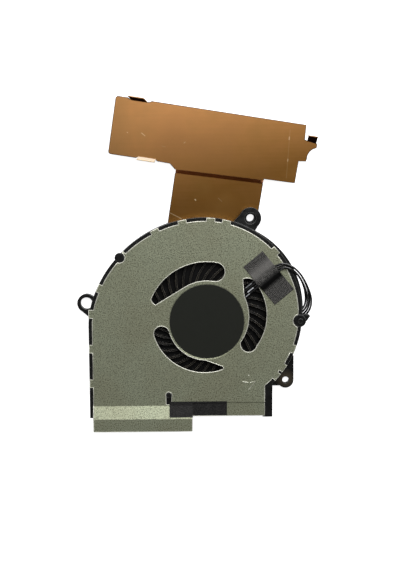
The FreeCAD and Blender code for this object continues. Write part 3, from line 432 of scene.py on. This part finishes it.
@dataclass(frozen=True)
class Finish:
    """A plain finish with a mottled colour, uneven gloss and a fine grain.

    Attributes:
        name: Name of the material.
        first: Main colour.
        second: Colour of the mottle.
        metallic: Share of metal.
        roughness: Mean roughness.
        grain_per_mm: Grain cells in each millimetre.
        grain_mm: Depth of the grain.
        mottle_per_mm: Mottle cells in each millimetre.
        specular: Specular level.
        edge_mm: Radius of the edges, as the light sees them.
    """

    name: str
    first: Shade
    second: Shade
    metallic: float = 0.0
    roughness: float = 0.5
    grain_per_mm: float = 3.0
    grain_mm: float = 0.01
    mottle_per_mm: float = 0.15
    specular: float = 0.5
    edge_mm: float = 0.15

    def build(self) -> bpy.types.Material:
        """Make the material and return it."""
        return self.graph().material

    def graph(self) -> Graph:
        """Lay down the material's nodes.

        Returns:
            The graph.
        """
        graph = Graph(self.name)
        graph.set(self.metallic, self.roughness, self.specular)
        mottle = graph.add(graph.noise(self.mottle_per_mm), graph.noise(self.grain_per_mm), 0.35)
        colour = graph.blend(graph.between(mottle, 0.0, 1.0, 0.45, 0.9), self.first.value, self.second.value)
        graph.link(colour, graph.shader.inputs["Base Color"])
        smears = graph.noise(4 * self.mottle_per_mm)
        gloss = graph.between(smears, self.roughness - 0.06, self.roughness + 0.08)
        graph.link(gloss, graph.shader.inputs["Roughness"])
        graph.bump(graph.noise(self.grain_per_mm, 2.0), self.grain_mm, 0.6, self.edge_mm)
        return graph


@dataclass(frozen=True)
class PlateSteel:
    """Passivated sheet steel: olive grey with a fine sparkling grain and faint stains.

    Attributes:
        roughness: Mean roughness.
        metallic: Share of metal below the passivation.
        grain_per_mm: Grain cells in each millimetre.
        grain_mm: Depth of the grain.
        stain_per_mm: Stains in each millimetre.
        edge_mm: Radius of the edges, as the light sees them.
    """

    roughness: float = 0.32
    metallic: float = 0.72
    grain_per_mm: float = 2.6
    grain_mm: float = 0.012
    stain_per_mm: float = 0.06
    edge_mm: float = 0.28

    def build(self) -> bpy.types.Material:
        """Make the material.

        Returns:
            The finished material.
        """
        graph = Graph("plate_steel")
        graph.set(self.metallic, self.roughness)
        grain = graph.noise(self.grain_per_mm, 2.0)
        cloud = graph.noise(self.stain_per_mm, 4.0)
        speckle = graph.between(grain, 0.0, 1.0, 0.3, 0.7)
        base = graph.blend(speckle, Shade.PLATE_DARK.value, Shade.PLATE_OLIVE.value)
        stained = graph.blend(graph.between(cloud, 0.0, 0.3), base, Shade.PLATE_STAIN.value)
        graph.link(stained, graph.shader.inputs["Base Color"])
        gloss = graph.between(grain, self.roughness - 0.08, self.roughness + 0.1)
        graph.link(gloss, graph.shader.inputs["Roughness"])
        graph.bump(grain, self.grain_mm, 0.5, self.edge_mm)
        return graph.material


@dataclass(frozen=True)
class SheetCopper:
    """Rolled copper sheet with painted shade that darkens it towards the fan, painted highlights on a crease
    and a tab, and a few scratches.

    Attributes:
        fan: Place of the fan axis.
        roughness: Mean roughness.
        shade_from: Direction in which the painted shade grows, in degrees.
        shade_start: Place along it where the sheet is bright, in millimetres.
        shade_stop: Place along it where the sheet is dull, in millimetres.
        far_end: Direction of the bar's olive end, in degrees, and where the olive starts and is full.
        past_fold: Direction of the bar's far edge, in degrees, and where the fold lies behind.
        marks: Ends of each mark in millimetres about the axis, its half width and its strength.
    """

    fan: FanPlace
    roughness: float = 0.27
    shade_from: float = -71.5
    shade_start: float = -62.0
    shade_stop: float = -25.0
    far_end: tuple[float, float, float] = (185.0, 20.0, 38.0)
    past_fold: tuple[float, float, float] = (90.0, 42.0, 46.0)
    marks: tuple[tuple[float, ...], ...] = (
        # a painted highlight along the crease near the bar's right end, then scratches, flecks and the
        # stem's corner crease
        (33.8, 76.0, 32.3, 56.9, 0.22, 0.1), (33.5, 73.2, 33.4, 72.2, 0.28, 0.6),
        (32.9, 64.4, 32.8, 63.6, 0.28, 0.5), (-25.5, 75.2, -24.1, 74.0, 0.2, 0.8),
        (-31.2, 75.5, -31.0, 75.3, 0.25, 0.7), (-8.6, 71.1, -8.1, 71.5, 0.22, 0.6),
        (-4.3, 48.5, -4.1, 48.2, 0.35, 1.0), (-14.3, 43.1, -9.9, 40.8, 0.22, 0.6),
        (-17.5, 70.0, -16.0, 69.6, 0.15, 0.3), (5.0, 49.0, 6.5, 47.6, 0.15, 0.25),
        # a painted highlight on the tab under the bar's left end
        (-27.3, 64.8, -21.3, 63.8, 1.3, 1.0),
    )

    def build(self) -> bpy.types.Material:
        """Make the material.

        Returns:
            The finished material.
        """
        graph = Graph("sheet_copper")
        graph.set(1.0, self.roughness)
        rolling = graph.noise(0.9, 4.0, (0.04, 1.0, 1.0), 9.0)
        cloud = graph.noise(0.045, 3.0)
        # painted shade: the sheet's colour darkens along this direction towards the fan, and random patches
        # and rolling streaks vary it
        painted_shade = graph.along(self.shade_from, self.shade_start, self.shade_stop)
        patches, streaks = graph.between(cloud, -1.0, 1.0), graph.between(rolling, -1.0, 1.0)
        shade_and_patches = graph.add(graph.add(painted_shade, patches, 0.14), streaks, 0.03)
        colour = graph.blend(shade_and_patches, Shade.COPPER_BRIGHT.value, Shade.COPPER_DULL.value)
        olive = graph.add(graph.along(*self.far_end), patches, 0.3)
        colour = graph.blend(graph.between(olive, 0.0, 0.55, 0.0, 1.0), colour, Shade.COPPER_OLIVE.value)
        # scratches and flecks, and painted highlights on the crease and the tab
        colour = graph.mark(self.fan, self.marks, colour, Shade.SCRATCH_AND_HIGHLIGHT)
        # the fold, facing away from the bar, turns a redder copper; past it the far tabs' faces turned the
        # same way get painted shade, and faces turned up towards the bar get a pale, less metallic painted
        # highlight
        near = graph.facing((0.0, -1.0, 0.0), 0.2, 0.5)
        upturned_glare = graph.facing((0.0, 0.707, 0.707), 0.8, 0.9)
        colour = graph.blend(near, colour, Shade.COPPER_RED.value)
        far_tab_shade = graph.multiply(graph.along(*self.past_fold), near)
        colour = graph.blend(far_tab_shade, colour, Shade.OXIDE_AND_SHADE.value)
        colour = graph.blend(upturned_glare, colour, Shade.TAB_GLARE.value)
        graph.link(graph.between(upturned_glare, 1.0, 0.1, 0.0, 1.0), graph.shader.inputs["Metallic"])
        graph.link(colour, graph.shader.inputs["Base Color"])
        gloss = graph.add(graph.between(cloud, self.roughness, self.roughness + 0.05), rolling, 0.03)
        graph.link(gloss, graph.shader.inputs["Roughness"])
        graph.bump(graph.noise(0.06, 2.0), 0.06, 0.5, 0.1)
        return graph.material


@dataclass(frozen=True)
class WovenCloth:
    """Black woven cloth of the tapes.

    Attributes:
        name: Name of the material.
        turn: Turn of the weave about Z, in degrees.
        pitch_mm: Distance between two threads.
        light: Colour of the raised threads.
        specular: Specular level.
        fluff_per_mm: Tufts of fluff in each millimetre.
    """

    name: str
    turn: float
    pitch_mm: float = 0.5
    light: Shade = Shade.CLOTH
    specular: float = 0.2
    fluff_per_mm: float = 2.4

    def build(self) -> bpy.types.Material:
        """Make the material and return it."""
        return self.graph().material

    def graph(self) -> Graph:
        """Lay down the material's nodes.

        Returns:
            The graph.
        """
        graph = Graph(self.name)
        graph.set(0.0, 0.5, self.specular)
        warp = graph.wave(self.pitch_mm, self.turn)
        weft = graph.wave(self.pitch_mm, self.turn + 90)
        fluff = graph.between(graph.noise(self.fluff_per_mm, 2.0), -1.0, 1.0)
        fibre = graph.add(graph.multiply(warp, weft), fluff, 0.45)
        colour = graph.blend(graph.between(fibre, 0.0, 1.0, 0.0, 0.85), Shade.JET.value, self.light.value)
        graph.link(colour, graph.shader.inputs["Base Color"])
        graph.bump(fibre, 0.05, 0.8)
        return graph


@dataclass(frozen=True)
class Marked:
    """A finish with a few marks on it: painted glints on a lead, wear round a screw hole, painted shade and
    a painted highlight on the flanks of a tape's hump.

    Attributes:
        plain: The finish below.
        fan: Place of the fan axis.
        shade: Colour of the marks.
        marks: Ends of each mark in millimetres about the axis, its half width and its strength.
    """

    plain: "Finish | WovenCloth | Marked"
    fan: FanPlace
    shade: Shade
    marks: tuple[tuple[float, ...], ...]

    def build(self) -> bpy.types.Material:
        """Make the material and return it."""
        return self.graph().material

    def graph(self) -> Graph:
        """Lay down the material's nodes.

        Returns:
            The graph.
        """
        graph = self.plain.graph()
        socket = graph.shader.inputs["Base Color"]
        graph.link(graph.mark(self.fan, self.marks, socket.links[0].from_socket, self.shade), socket)
        return graph


@dataclass(frozen=True)
class WoundWire:
    """Enamelled copper wire, wound in close turns round each tooth.

    Attributes:
        pitch_mm: Distance between two turns.
    """

    pitch_mm: float = 0.16

    def build(self) -> bpy.types.Material:
        """Make the material.

        Returns:
            The finished material.
        """
        graph = Graph("wound_wire")
        graph.set(metallic=0.8, roughness=0.28, coat=0.4)
        turns = graph.wave(self.pitch_mm, 0.0)
        crown = graph.between(turns, 0.0, 1.0, 0.0, 0.6)
        colour = graph.blend(crown, Shade.ENAMEL_DARK.value, Shade.ENAMEL.value)
        graph.link(colour, graph.shader.inputs["Base Color"])
        graph.bump(turns, 0.05)
        return graph.material


class Workshop:
    """Makes each finish once and hands it out by name."""

    def __init__(self, fan: FanPlace) -> None:
        """Build the list of finishes.

        Args:
            fan: Place of the fan axis.
        """
        self.fan = fan
        moulded = Finish("moulded_black", Shade.FRAME_BLACK, Shade.JET, roughness=0.3, grain_per_mm=2.2,
                         grain_mm=0.012, specular=0.4, edge_mm=0.3)
        sleeve = Finish("lead_insulation", Shade.JET, Shade.JET, roughness=0.14, grain_per_mm=2.0,
                        grain_mm=0.003, mottle_per_mm=0.3, specular=1.0, edge_mm=0.0)
        hole_wear = ((31.9, -24.8, 31.95, -24.8, 4.4, 0.55),)
        # painted shade on the tape hump's flank turned from the light, and a painted highlight on the flank
        # turned towards it
        shaded_flank = ((21.49, 13.08, 29.67, 19.82, 2.5, 1.0),)
        lit_flank = ((17.73, 17.63, 25.91, 24.37, 3.2, 0.6),)
        # painted glints along the tops of three leads in the window
        painted_glints = ((16.5, 11.85, 18.5, 13.55, 0.28, 1.0), (15.6, 13.5, 17.8, 15.4, 0.2, 0.5),
                   (15.6, 9.85, 17.2, 11.2, 0.2, 0.6))
        cloth = WovenCloth("tape_cloth", turn=50.5, light=Shade.CLOTH_PALE)
        finishes = {
            "frame": Marked(moulded, fan, Shade.WORN, hole_wear),
            "cover": Finish("cover_black", Shade.FRAME_BLACK, Shade.FRAME_BLACK, roughness=0.55,
                            grain_per_mm=2.5, grain_mm=0.015),
            "plate": PlateSteel(),
            "copper": SheetCopper(fan),
            "copper edge": Finish("copper_edge", Shade.COPPER_EDGE, Shade.OXIDE_AND_SHADE, metallic=0.6,
                                  grain_mm=0.004, mottle_per_mm=0.2, specular=0.4, edge_mm=0.0),
            "impeller": Finish("impeller_black", Shade.JET, Shade.JET, roughness=0.4, grain_per_mm=2.0,
                               specular=0.2, edge_mm=0.1),
            "label": Finish("label_film", Shade.LABEL, Shade.LABEL, roughness=0.55, grain_per_mm=5.0,
                            grain_mm=0.004, specular=0.22),
            # woven cloth with painted shade and a painted highlight on the flanks of its hump
            "cloth": Marked(Marked(cloth, fan, Shade.FLANK_SHADE, shaded_flank), fan, Shade.CLOTH_PALE, lit_flank),
            "strip": WovenCloth("outlet_cloth", turn=0.0, pitch_mm=0.45),
            "film": Finish("adhesive_film", Shade.FILM, Shade.NYLON, roughness=0.6),
            "steel": Finish("plated_steel", Shade.STEEL, Shade.STEEL, metallic=1.0, roughness=0.32,
                            grain_per_mm=4.0, grain_mm=0.004),
            "shaft": Finish("ground_steel", Shade.STEEL, Shade.NYLON, metallic=1.0, roughness=0.16,
                            grain_per_mm=6.0, grain_mm=0.002),
            "core": Finish("laminated_steel", Shade.STEEL, Shade.FERRITE, metallic=0.9, roughness=0.4,
                           grain_per_mm=5.0),
            "brass": Finish("turned_brass", Shade.BRASS, Shade.BRONZE, metallic=1.0, roughness=0.25,
                            grain_per_mm=4.0, grain_mm=0.003),
            "bronze": Finish("sintered_bronze", Shade.BRONZE, Shade.BRASS, metallic=0.9,
                             grain_per_mm=6.0, grain_mm=0.02, mottle_per_mm=1.2),
            "nylon": Finish("natural_nylon", Shade.NYLON, Shade.NYLON, roughness=0.45),
            "ferrite": Finish("bonded_ferrite", Shade.FERRITE, Shade.JET, roughness=0.6,
                              grain_per_mm=5.0, grain_mm=0.02, mottle_per_mm=0.8),
            "winding": WoundWire(),
            "board": Finish("solder_mask", Shade.BOARD, Shade.LABEL, roughness=0.25, grain_mm=0.008),
            "lead": Marked(sleeve, fan, Shade.GLINT, painted_glints),
            # grey lips on the black frame's edges: a painted highlight
            "lip": Finish("moulded_lip_highlight", Shade.FRAME_EDGE_HIGHLIGHT, Shade.FRAME_BLACK, roughness=0.35, grain_per_mm=2.0,
                          grain_mm=0.004, mottle_per_mm=0.4, specular=0.6, edge_mm=0.0),
            # grey-brown lips on the blades' edges: a painted highlight
            "blade lip": Finish("blade_lip_highlight", Shade.BLADE_EDGE_HIGHLIGHT, Shade.FRAME_BLACK, roughness=0.35,
                                grain_per_mm=2.0, grain_mm=0.004, mottle_per_mm=0.3, specular=0.6,
                                edge_mm=0.0),
            "sheared": Finish("sheared_steel", Shade.SHEARED, Shade.SHEARED, metallic=0.8,
                              roughness=0.45, grain_per_mm=4.0, grain_mm=0.002, edge_mm=0.0),
        }
        self.made = {name: finish.build() for name, finish in finishes.items()}

    def dress(self, piece: bpy.types.Object, finish: str) -> None:
        """Put one finish on the whole of a piece.

        Args:
            piece: The object to dress.
            finish: Name of the finish.
        """
        slots = piece.material_slots
        if not slots:
            piece.data.materials.append(self.made[finish])
        for slot in slots:
            slot.material = self.made[finish]


@dataclass(frozen=True)
class SoftLamp:
    """Rectangular soft lamp that looks at the fan.

    Attributes:
        name: Name of the lamp.
        place: Where it hangs, in metres.
        size: Width and height in metres.
        power: Power in watts.
    """

    name: str
    place: tuple[float, float, float]
    size: tuple[float, float]
    power: float

    def build(self) -> None:
        """Hang the lamp."""
        data = bpy.data.lights.new(self.name, "AREA")
        data.shape = "RECTANGLE"
        data.size, data.size_y = self.size
        data.energy = self.power
        lamp = bpy.data.objects.new(self.name, data)
        lamp.location = self.place
        lamp.rotation_euler = (-Vector(self.place)).to_track_quat("-Z", "Y").to_euler()
        bpy.context.collection.objects.link(lamp)


@dataclass
class Studio:
    """Camera, lamps, world and floor.

    Attributes:
        fan: Place of the fan axis.
        eye: Place of the camera in millimetres about the axis.
        right: Direction to the picture's right.
        up: Direction to the picture's top.
        lens: Focal length in millimetres.
        floor_size: Side of the floor in metres.
        floor_glow: Strength of the light that the camera sees the floor give off.
        lamps: The lamps.
        sky_y: Parts of the sky, by their Y, where its light starts and is full.
        sky_strength: Strength of the sky's light at both.
    """

    fan: FanPlace
    eye: tuple[float, float, float] = (-6.22, 68.32, 461.1)
    right: tuple[float, float, float] = (0.99994, -0.00682, 0.00873)
    up: tuple[float, float, float] = (0.0078, 0.993, -0.11786)
    lens: float = 71.835
    floor_size: float = 3.0
    floor_glow: float = 0.9
    lamps: tuple[SoftLamp, ...] = (
        SoftLamp("key", (0.20, 0.71, 1.14), (1.2, 0.9), 14.0),
        SoftLamp("fill", (-1.1, -0.9, 1.0), (1.0, 1.0), 1.3),
    )
    sky_y: tuple[float, float] = (0.05, 0.85)
    sky_strength: tuple[float, float] = (0.10, 0.95)

    def camera(self) -> None:
        """Place the camera where the photograph was taken from."""
        data = bpy.data.cameras.new("camera")
        data.lens = self.lens
        data.sensor_width = 36.0
        data.clip_start = 0.01
        right, up = Vector(self.right).normalized(), Vector(self.up)
        back = right.cross(up).normalized()
        up = back.cross(right)
        matrix = Matrix((right, up, back)).transposed().to_4x4()
        matrix.translation = self.fan.at(*self.eye)
        camera = bpy.data.objects.new("camera", data)
        camera.matrix_world = matrix
        bpy.context.collection.objects.link(camera)
        bpy.context.scene.camera = camera

    def light(self) -> None:
        """Light the fan softly from the copper bar's side, under a sky that is light on that side only."""
        for lamp in self.lamps:
            lamp.build()
        world = bpy.data.worlds.new("studio")
        world.use_nodes = True
        tree = world.node_tree
        parts = tree.nodes.new("ShaderNodeSeparateXYZ")
        strength = tree.nodes.new("ShaderNodeMapRange")
        limits = zip(("From Min", "From Max", "To Min", "To Max"), self.sky_y + self.sky_strength)
        for name, value in limits:
            strength.inputs[name].default_value = value
        tree.links.new(tree.nodes.new("ShaderNodeTexCoord").outputs["Generated"], parts.inputs[0])
        tree.links.new(parts.outputs["Y"], strength.inputs["Value"])
        back = tree.nodes["Background"]
        back.inputs["Color"].default_value = WHITE
        seen = tree.nodes.new("ShaderNodeMath")
        seen.operation = "MAXIMUM"
        tree.links.new(strength.outputs["Result"], seen.inputs[0])
        tree.links.new(tree.nodes.new("ShaderNodeLightPath").outputs["Is Camera Ray"], seen.inputs[1])
        tree.links.new(seen.outputs[0], back.inputs["Strength"])
        bpy.context.scene.world = world

    def floor(self) -> None:
        """Lay a plain white floor that keeps the fan's soft shadow."""
        half = 0.5 * self.floor_size
        mesh = bpy.data.meshes.new("floor")
        corners = [(-half, -half, 0), (half, -half, 0), (half, half, 0), (-half, half, 0)]
        mesh.from_pydata(corners, [], [(0, 1, 2, 3)])
        floor = bpy.data.objects.new("floor", mesh)
        bpy.context.collection.objects.link(floor)
        graph = Graph("floor_white")
        graph.set(metallic=0.0, roughness=0.8, specular=0.2)
        graph.shader.inputs["Base Color"].default_value = Shade.FLOOR.value
        graph.shader.inputs["Emission Color"].default_value = WHITE
        path = graph.node("ShaderNodeLightPath")
        seen = graph.node("ShaderNodeMath", operation="MULTIPLY")
        graph.link(path.outputs["Is Camera Ray"], seen.inputs[0])
        seen.inputs[1].default_value = self.floor_glow
        graph.link(seen.outputs[0], graph.shader.inputs["Emission Strength"])
        mesh.materials.append(graph.material)

    def build(self) -> None:
        """Set up the whole studio."""
        bpy.context.scene.view_settings.view_transform = "Standard"
        self.camera()
        self.light()
        self.floor()
        log.info("studio ready")


@dataclass
class Leads:
    """Four insulated leads from the motor board to the plug.

    Attributes:
        fan: Place of the fan axis.
        shop: The finishes.
        diameter: Diameter of one lead in millimetres.
        pitch: Distance between two neighbours in millimetres.
        lengths: Length of each lead in millimetres; not used.
        spread: Distance between the two pairs in the flat row, in pitches. Bunched, they are one closer.
        route: X, Y and Z in millimetres, and how far the flat row is bunched two by two.
    """

    fan: FanPlace
    shop: Workshop
    diameter: float = 0.8
    pitch: float = 0.92
    lengths: tuple[float, float, float, float] = (98.1, 100.5, 102.9, 105.4)
    spread: float = 2.1
    route: tuple[tuple[float, float, float, float], ...] = (
        # from the motor board through a window, under the tape and over the rim
        (10.45, 7.20, 9.70, 0.0), (13.20, 9.60, 9.70, 0.0), (16.20, 12.20, 10.15, 0.0),
        (19.90, 15.35, 11.80, 0.0), (23.90, 18.55, 11.68, 0.0), (27.60, 21.30, 11.62, 0.15),
        (31.00, 22.60, 12.10, 0.55), (34.60, 21.30, 11.95, 1.0),
        # round outside the rim, down past the hook
        (37.60, 18.00, 10.90, 1.0), (39.70, 13.80, 9.50, 0.9), (41.00, 9.60, 7.40, 0.5),
        (41.30, 5.90, 4.40, 0.3), (40.50, 3.00, 1.40, 0.0), (38.20, 0.90, 0.75, 0.0),
        # in under the inlet cover and along the frame to the plug
        (35.20, -3.20, 0.80, 0.0), (31.00, -11.00, 0.85, 0.0), (24.80, -19.40, 0.80, 0.0),
        (15.40, -26.20, 0.85, 0.0), (6.20, -29.60, 0.80, 0.0),
    )

    def points(self, index: int) -> list[Vector]:
        """Route of one lead: beside its neighbours, or two by two where they are bunched.

        Args:
            index: Number of the lead, from 0 to 3.

        Returns:
            The route's points in metres.
        """
        pair = (index // 2 - 0.5) * self.pitch
        place_in_pair = (index % 2 - 0.5) * self.pitch
        route = [Vector(point[:3]) for point in self.route]
        moved = []
        for i, (point, (_, _, _, bunch)) in enumerate(zip(route, self.route)):
            run = route[min(i + 1, len(route) - 1)] - route[max(i - 1, 0)]
            side = Vector((-run.y, run.x, 0)).normalized()
            above = run.cross(side).normalized()
            turn = math.radians(90 * bunch)
            sideways = pair * (self.spread - bunch) + place_in_pair * math.cos(turn)
            lift = place_in_pair * math.sin(turn)
            moved.append(self.fan.at(*(point + side * sideways + above * lift)))
        return moved

    def build(self) -> None:
        for index in range(4):
            points = self.points(index)
            curve = bpy.data.curves.new(f"lead_{index + 1}", "CURVE")
            curve.dimensions = "3D"
            curve.bevel_depth = 0.5 * self.diameter * MM
            curve.bevel_resolution = 4
            curve.use_fill_caps = True
            spline = curve.splines.new("NURBS")
            spline.points.add(len(points) - 1)
            for target, point in zip(spline.points, points):
                target.co = (*point, 1.0)
            spline.order_u = 3
            spline.use_endpoint_u = True
            spline.resolution_u = 10
            lead = bpy.data.objects.new(f"lead_{index + 1}", curve)
            bpy.context.collection.objects.link(lead)
            self.shop.dress(lead, "lead")
            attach(lead, "housing")
            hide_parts(f"lead_wire_{index + 1}")
        log.info("leads laid")


@dataclass
class ClothTape:
    """Rectangle of cloth tape that holds the leads down on the plate.

    Attributes:
        fan: Place of the fan axis.
        shop: The finishes.
        centre: Middle of the tape, in millimetres about the axis.
        turn: Turn of its long side's normal, in degrees.
        length: Long side in millimetres.
        width: Short side in millimetres.
        feet: Reach of the hump's two flanks from its middle.
        plateau: Half width of the hump's top.
        shift: Place of the hump's middle along the tape.
        rise: Height of the hump.
        tilt: Fall of the hump's top for each millimetre along the tape.
        wrinkle: Height of the wrinkles beside the hump.
        ripple: Height of the ripples over the leads.
        lead_pitch: Distance between two leads below.
        thickness: Thickness of the cloth.
        steps: Steps of the mesh along the tape and across it.
    """

    fan: FanPlace
    shop: Workshop
    centre: tuple[float, float] = (24.75, 17.45)
    turn: float = 39.5
    length: float = 19.8
    width: float = 10.0
    feet: tuple[float, float] = (4.3, 4.7)
    plateau: float = 1.7
    shift: float = -1.3
    rise: float = 1.15
    tilt: float = 0.04
    wrinkle: float = 0.03
    ripple: float = 0.025
    lead_pitch: float = 0.92
    thickness: float = 0.14
    steps: tuple[int, int] = (80, 30)

    def height(self, along: float, across: float) -> float:
        """Height of the cloth above the plate.

        Args:
            along: Millimetres along the tape from its middle.
            across: Millimetres across it.

        Returns:
            The height in millimetres.
        """
        place = along - self.shift
        foot = self.feet[0] if place < 0 else self.feet[1]
        rest = foot - abs(place)
        if rest <= 0:
            fading = max(0.0, 1 + 0.5 * rest)
            return max(0.0, self.wrinkle * math.sin(1.9 * along + 0.8 * across) * fading)
        share = min(1.0, rest / (foot - self.plateau))
        rounded = share * share * (3 - 2 * share)
        ripple = self.ripple * math.cos(2 * math.pi * place / self.lead_pitch)
        return rounded * (self.rise + ripple - self.tilt * place)

    def build(self) -> None:
        """Drape the cloth and give it its thickness."""
        long_steps, cross_steps = self.steps
        turn = Matrix.Rotation(math.radians(self.turn - 90), 3, "Z")
        middle = self.fan.at(*self.centre, 0)
        vertices = []
        for i in range(long_steps + 1):
            along = self.length * (i / long_steps - 0.5)
            for j in range(cross_steps + 1):
                across = self.width * (j / cross_steps - 0.5)
                flat = turn @ Vector((along, across, 0)) * MM
                height = self.fan.plate_top + (self.height(along, across) + self.thickness) * MM
                vertices.append((middle.x + flat.x, middle.y + flat.y, height))
        row = cross_steps + 1
        faces = [(i * row + j, (i + 1) * row + j, (i + 1) * row + j + 1, i * row + j + 1)
                 for i in range(long_steps) for j in range(cross_steps)]
        mesh = bpy.data.meshes.new("cloth_tape")
        mesh.from_pydata(vertices, [], faces)
        mesh.shade_smooth()
        tape = bpy.data.objects.new("cloth_tape", mesh)
        bpy.context.collection.objects.link(tape)
        skin = tape.modifiers.new("thickness", "SOLIDIFY")
        skin.thickness = self.thickness * MM
        skin.offset = -1
        self.shop.dress(tape, "cloth")
        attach(tape, "housing")
        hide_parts("wire_tape")
        log.info("cloth tape laid")


@dataclass
class EdgeLines:
    """Fine rounded lips along a piece's sharp upper edges: the lines that the light picks out, on the frame
    and the blades with a painted highlight in their colour.

    Attributes:
        shop: The finishes.
        node: The piece's node.
        body: The body that it rides on.
        finish: Name of the lip's finish.
        slot: Material slot of the lip; not used.
        radius: Radius of the lip in millimetres.
        clear: Radius about the fan axis, in millimetres, in which no line is laid.
    """

    shop: Workshop
    node: str
    body: str
    finish: str
    slot: str
    radius: float
    clear: float = 0.0

    def runs(self) -> list[list[Vector]]:
        """Upper sharp edges of the piece, joined end to end.

        Returns:
            Closed runs of points in metres.
        """
        sheet = bmesh.new()
        sheet.from_mesh(bpy.data.objects[self.node].data)
        bmesh.ops.remove_doubles(sheet, verts=sheet.verts, dist=0.001 * MM)
        steps: dict[int, list[int]] = {}
        for edge in sheet.edges:
            ups = sorted(face.normal.z for face in edge.link_faces)
            reach = (edge.verts[0].co - self.shop.fan.at(0, 0, 0)).xy.length
            if len(ups) == 2 and abs(ups[0]) < 0.1 and ups[1] > 0.9 and reach > self.clear * MM:
                first, second = (vertex.index for vertex in edge.verts)
                steps.setdefault(first, []).append(second)
                steps.setdefault(second, []).append(first)
        sheet.verts.ensure_lookup_table()
        runs = []
        while steps:
            here = next(iter(steps))
            run = [here]
            while steps.get(here):
                after = steps[here].pop()
                steps[after].remove(here)
                run.append(after)
                here = after
            steps = {index: others for index, others in steps.items() if others}
            runs.append([sheet.verts[index].co.copy() for index in run])
        sheet.free()
        return runs

    def build(self) -> None:
        """Lay one thin bright line along every run."""
        name = f"{self.node}_edges"
        curve = bpy.data.curves.new(name, "CURVE")
        curve.dimensions = "3D"
        curve.bevel_depth = self.radius * MM
        curve.bevel_resolution = 1
        for run in self.runs():
            spline = curve.splines.new("POLY")
            spline.points.add(len(run) - 1)
            for target, point in zip(spline.points, run):
                target.co = (point.x, point.y, point.z - 0.75 * self.radius * MM, 1.0)
        edges = bpy.data.objects.new(name, curve)
        bpy.context.collection.objects.link(edges)
        self.shop.dress(edges, self.finish)
        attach(edges, self.body)
        log.info("%s: %d lines", name, len(curve.splines))


@dataclass
class ArrowMark:
    """Small plain arrow that is pressed into the plate.

    Attributes:
        fan: Place of the fan axis.
        shop: The finishes.
        strokes: Corners of each stroke, in millimetres about the axis.
        radius: Radius of the raised line in millimetres.
    """

    fan: FanPlace
    shop: Workshop
    strokes: tuple[tuple[tuple[float, float], ...], ...] = (
        ((14.2, -24.4), (15.9, -24.7), (16.5, -24.9)), ((17.2, -24.9), (19.4, -24.3), (16.7, -27.7)),
        ((16.5, -21.9), (16.9, -21.9)),
    )
    radius: float = 0.18

    def build(self) -> None:
        """Raise the strokes as half-sunk lines."""
        curve = bpy.data.curves.new("arrow_mark", "CURVE")
        curve.dimensions = "3D"
        curve.bevel_depth = self.radius * MM
        curve.bevel_resolution = 1
        for corners in self.strokes:
            spline = curve.splines.new("POLY")
            spline.points.add(len(corners) - 1)
            for target, (x, y) in zip(spline.points, corners):
                place = self.fan.at(x, y, 0)
                target.co = (place.x, place.y, self.fan.plate_top - 0.2 * self.radius * MM, 1.0)
        mark = bpy.data.objects.new("arrow_mark", curve)
        bpy.context.collection.objects.link(mark)
        self.shop.dress(mark, "sheared")
        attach(mark, "housing")
        log.info("arrow mark raised")


@dataclass
class Castings:
    """The CAD nodes that keep their own shape and only get their finish.

    Attributes:
        shop: The finishes.
        finishes: Name of each node's finish.
    """

    shop: Workshop
    finishes: dict[str, str] = field(default_factory=lambda: {
        "housing_frame": "frame", "inlet_cover": "cover", "base_plate": "plate", "heat_spreader": "copper",
        "spreader_adhesive": "film", "motor_label": "label", "outlet_tape": "strip", "impeller": "impeller",
        "rotor_yoke": "steel", "rotor_magnet": "ferrite", "rotor_shaft": "shaft", "bearing_housing": "brass",
        "bearing_sleeve": "bronze", "thrust_pad": "nylon", "retaining_ring": "nylon", "stator_core": "core",
        "stator_insulator": "nylon", "stator_coils": "winding", "motor_board": "board",
        "driver_chip": "cover", "connector_housing": "frame", "connector_contacts": "brass",
    })

    def build(self) -> None:
        """Dress every node."""
        for node, finish in self.finishes.items():
            self.shop.dress(bpy.data.objects[node], finish)
        log.info("%d nodes dressed", len(self.finishes))


def main() -> None:
    """Build the studio and every piece."""
    logging.basicConfig(level=logging.INFO, format="%(name)s: %(message)s")
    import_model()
    fan = FanPlace()
    shop = Workshop(fan)
    Studio(fan).build()
    Leads(fan, shop).build()
    Castings(shop).build()
    ClothTape(fan, shop).build()
    EdgeLines(shop, "base_plate", "housing", "sheared", "plate_steel", radius=0.22, clear=15.6).build()
    EdgeLines(shop, "housing_frame", "housing", "lip", "frame_plastic", radius=0.11).build()
    EdgeLines(shop, "heat_spreader", "housing", "copper edge", "copper_sheet", radius=0.16).build()
    EdgeLines(shop, "motor_label", "housing", "cover", "label_film", radius=0.13).build()
    EdgeLines(shop, "impeller", "rotor", "blade lip", "impeller_plastic", radius=0.07).build()
    ArrowMark(fan, shop).build()


if __name__ == "__main__":
    main()
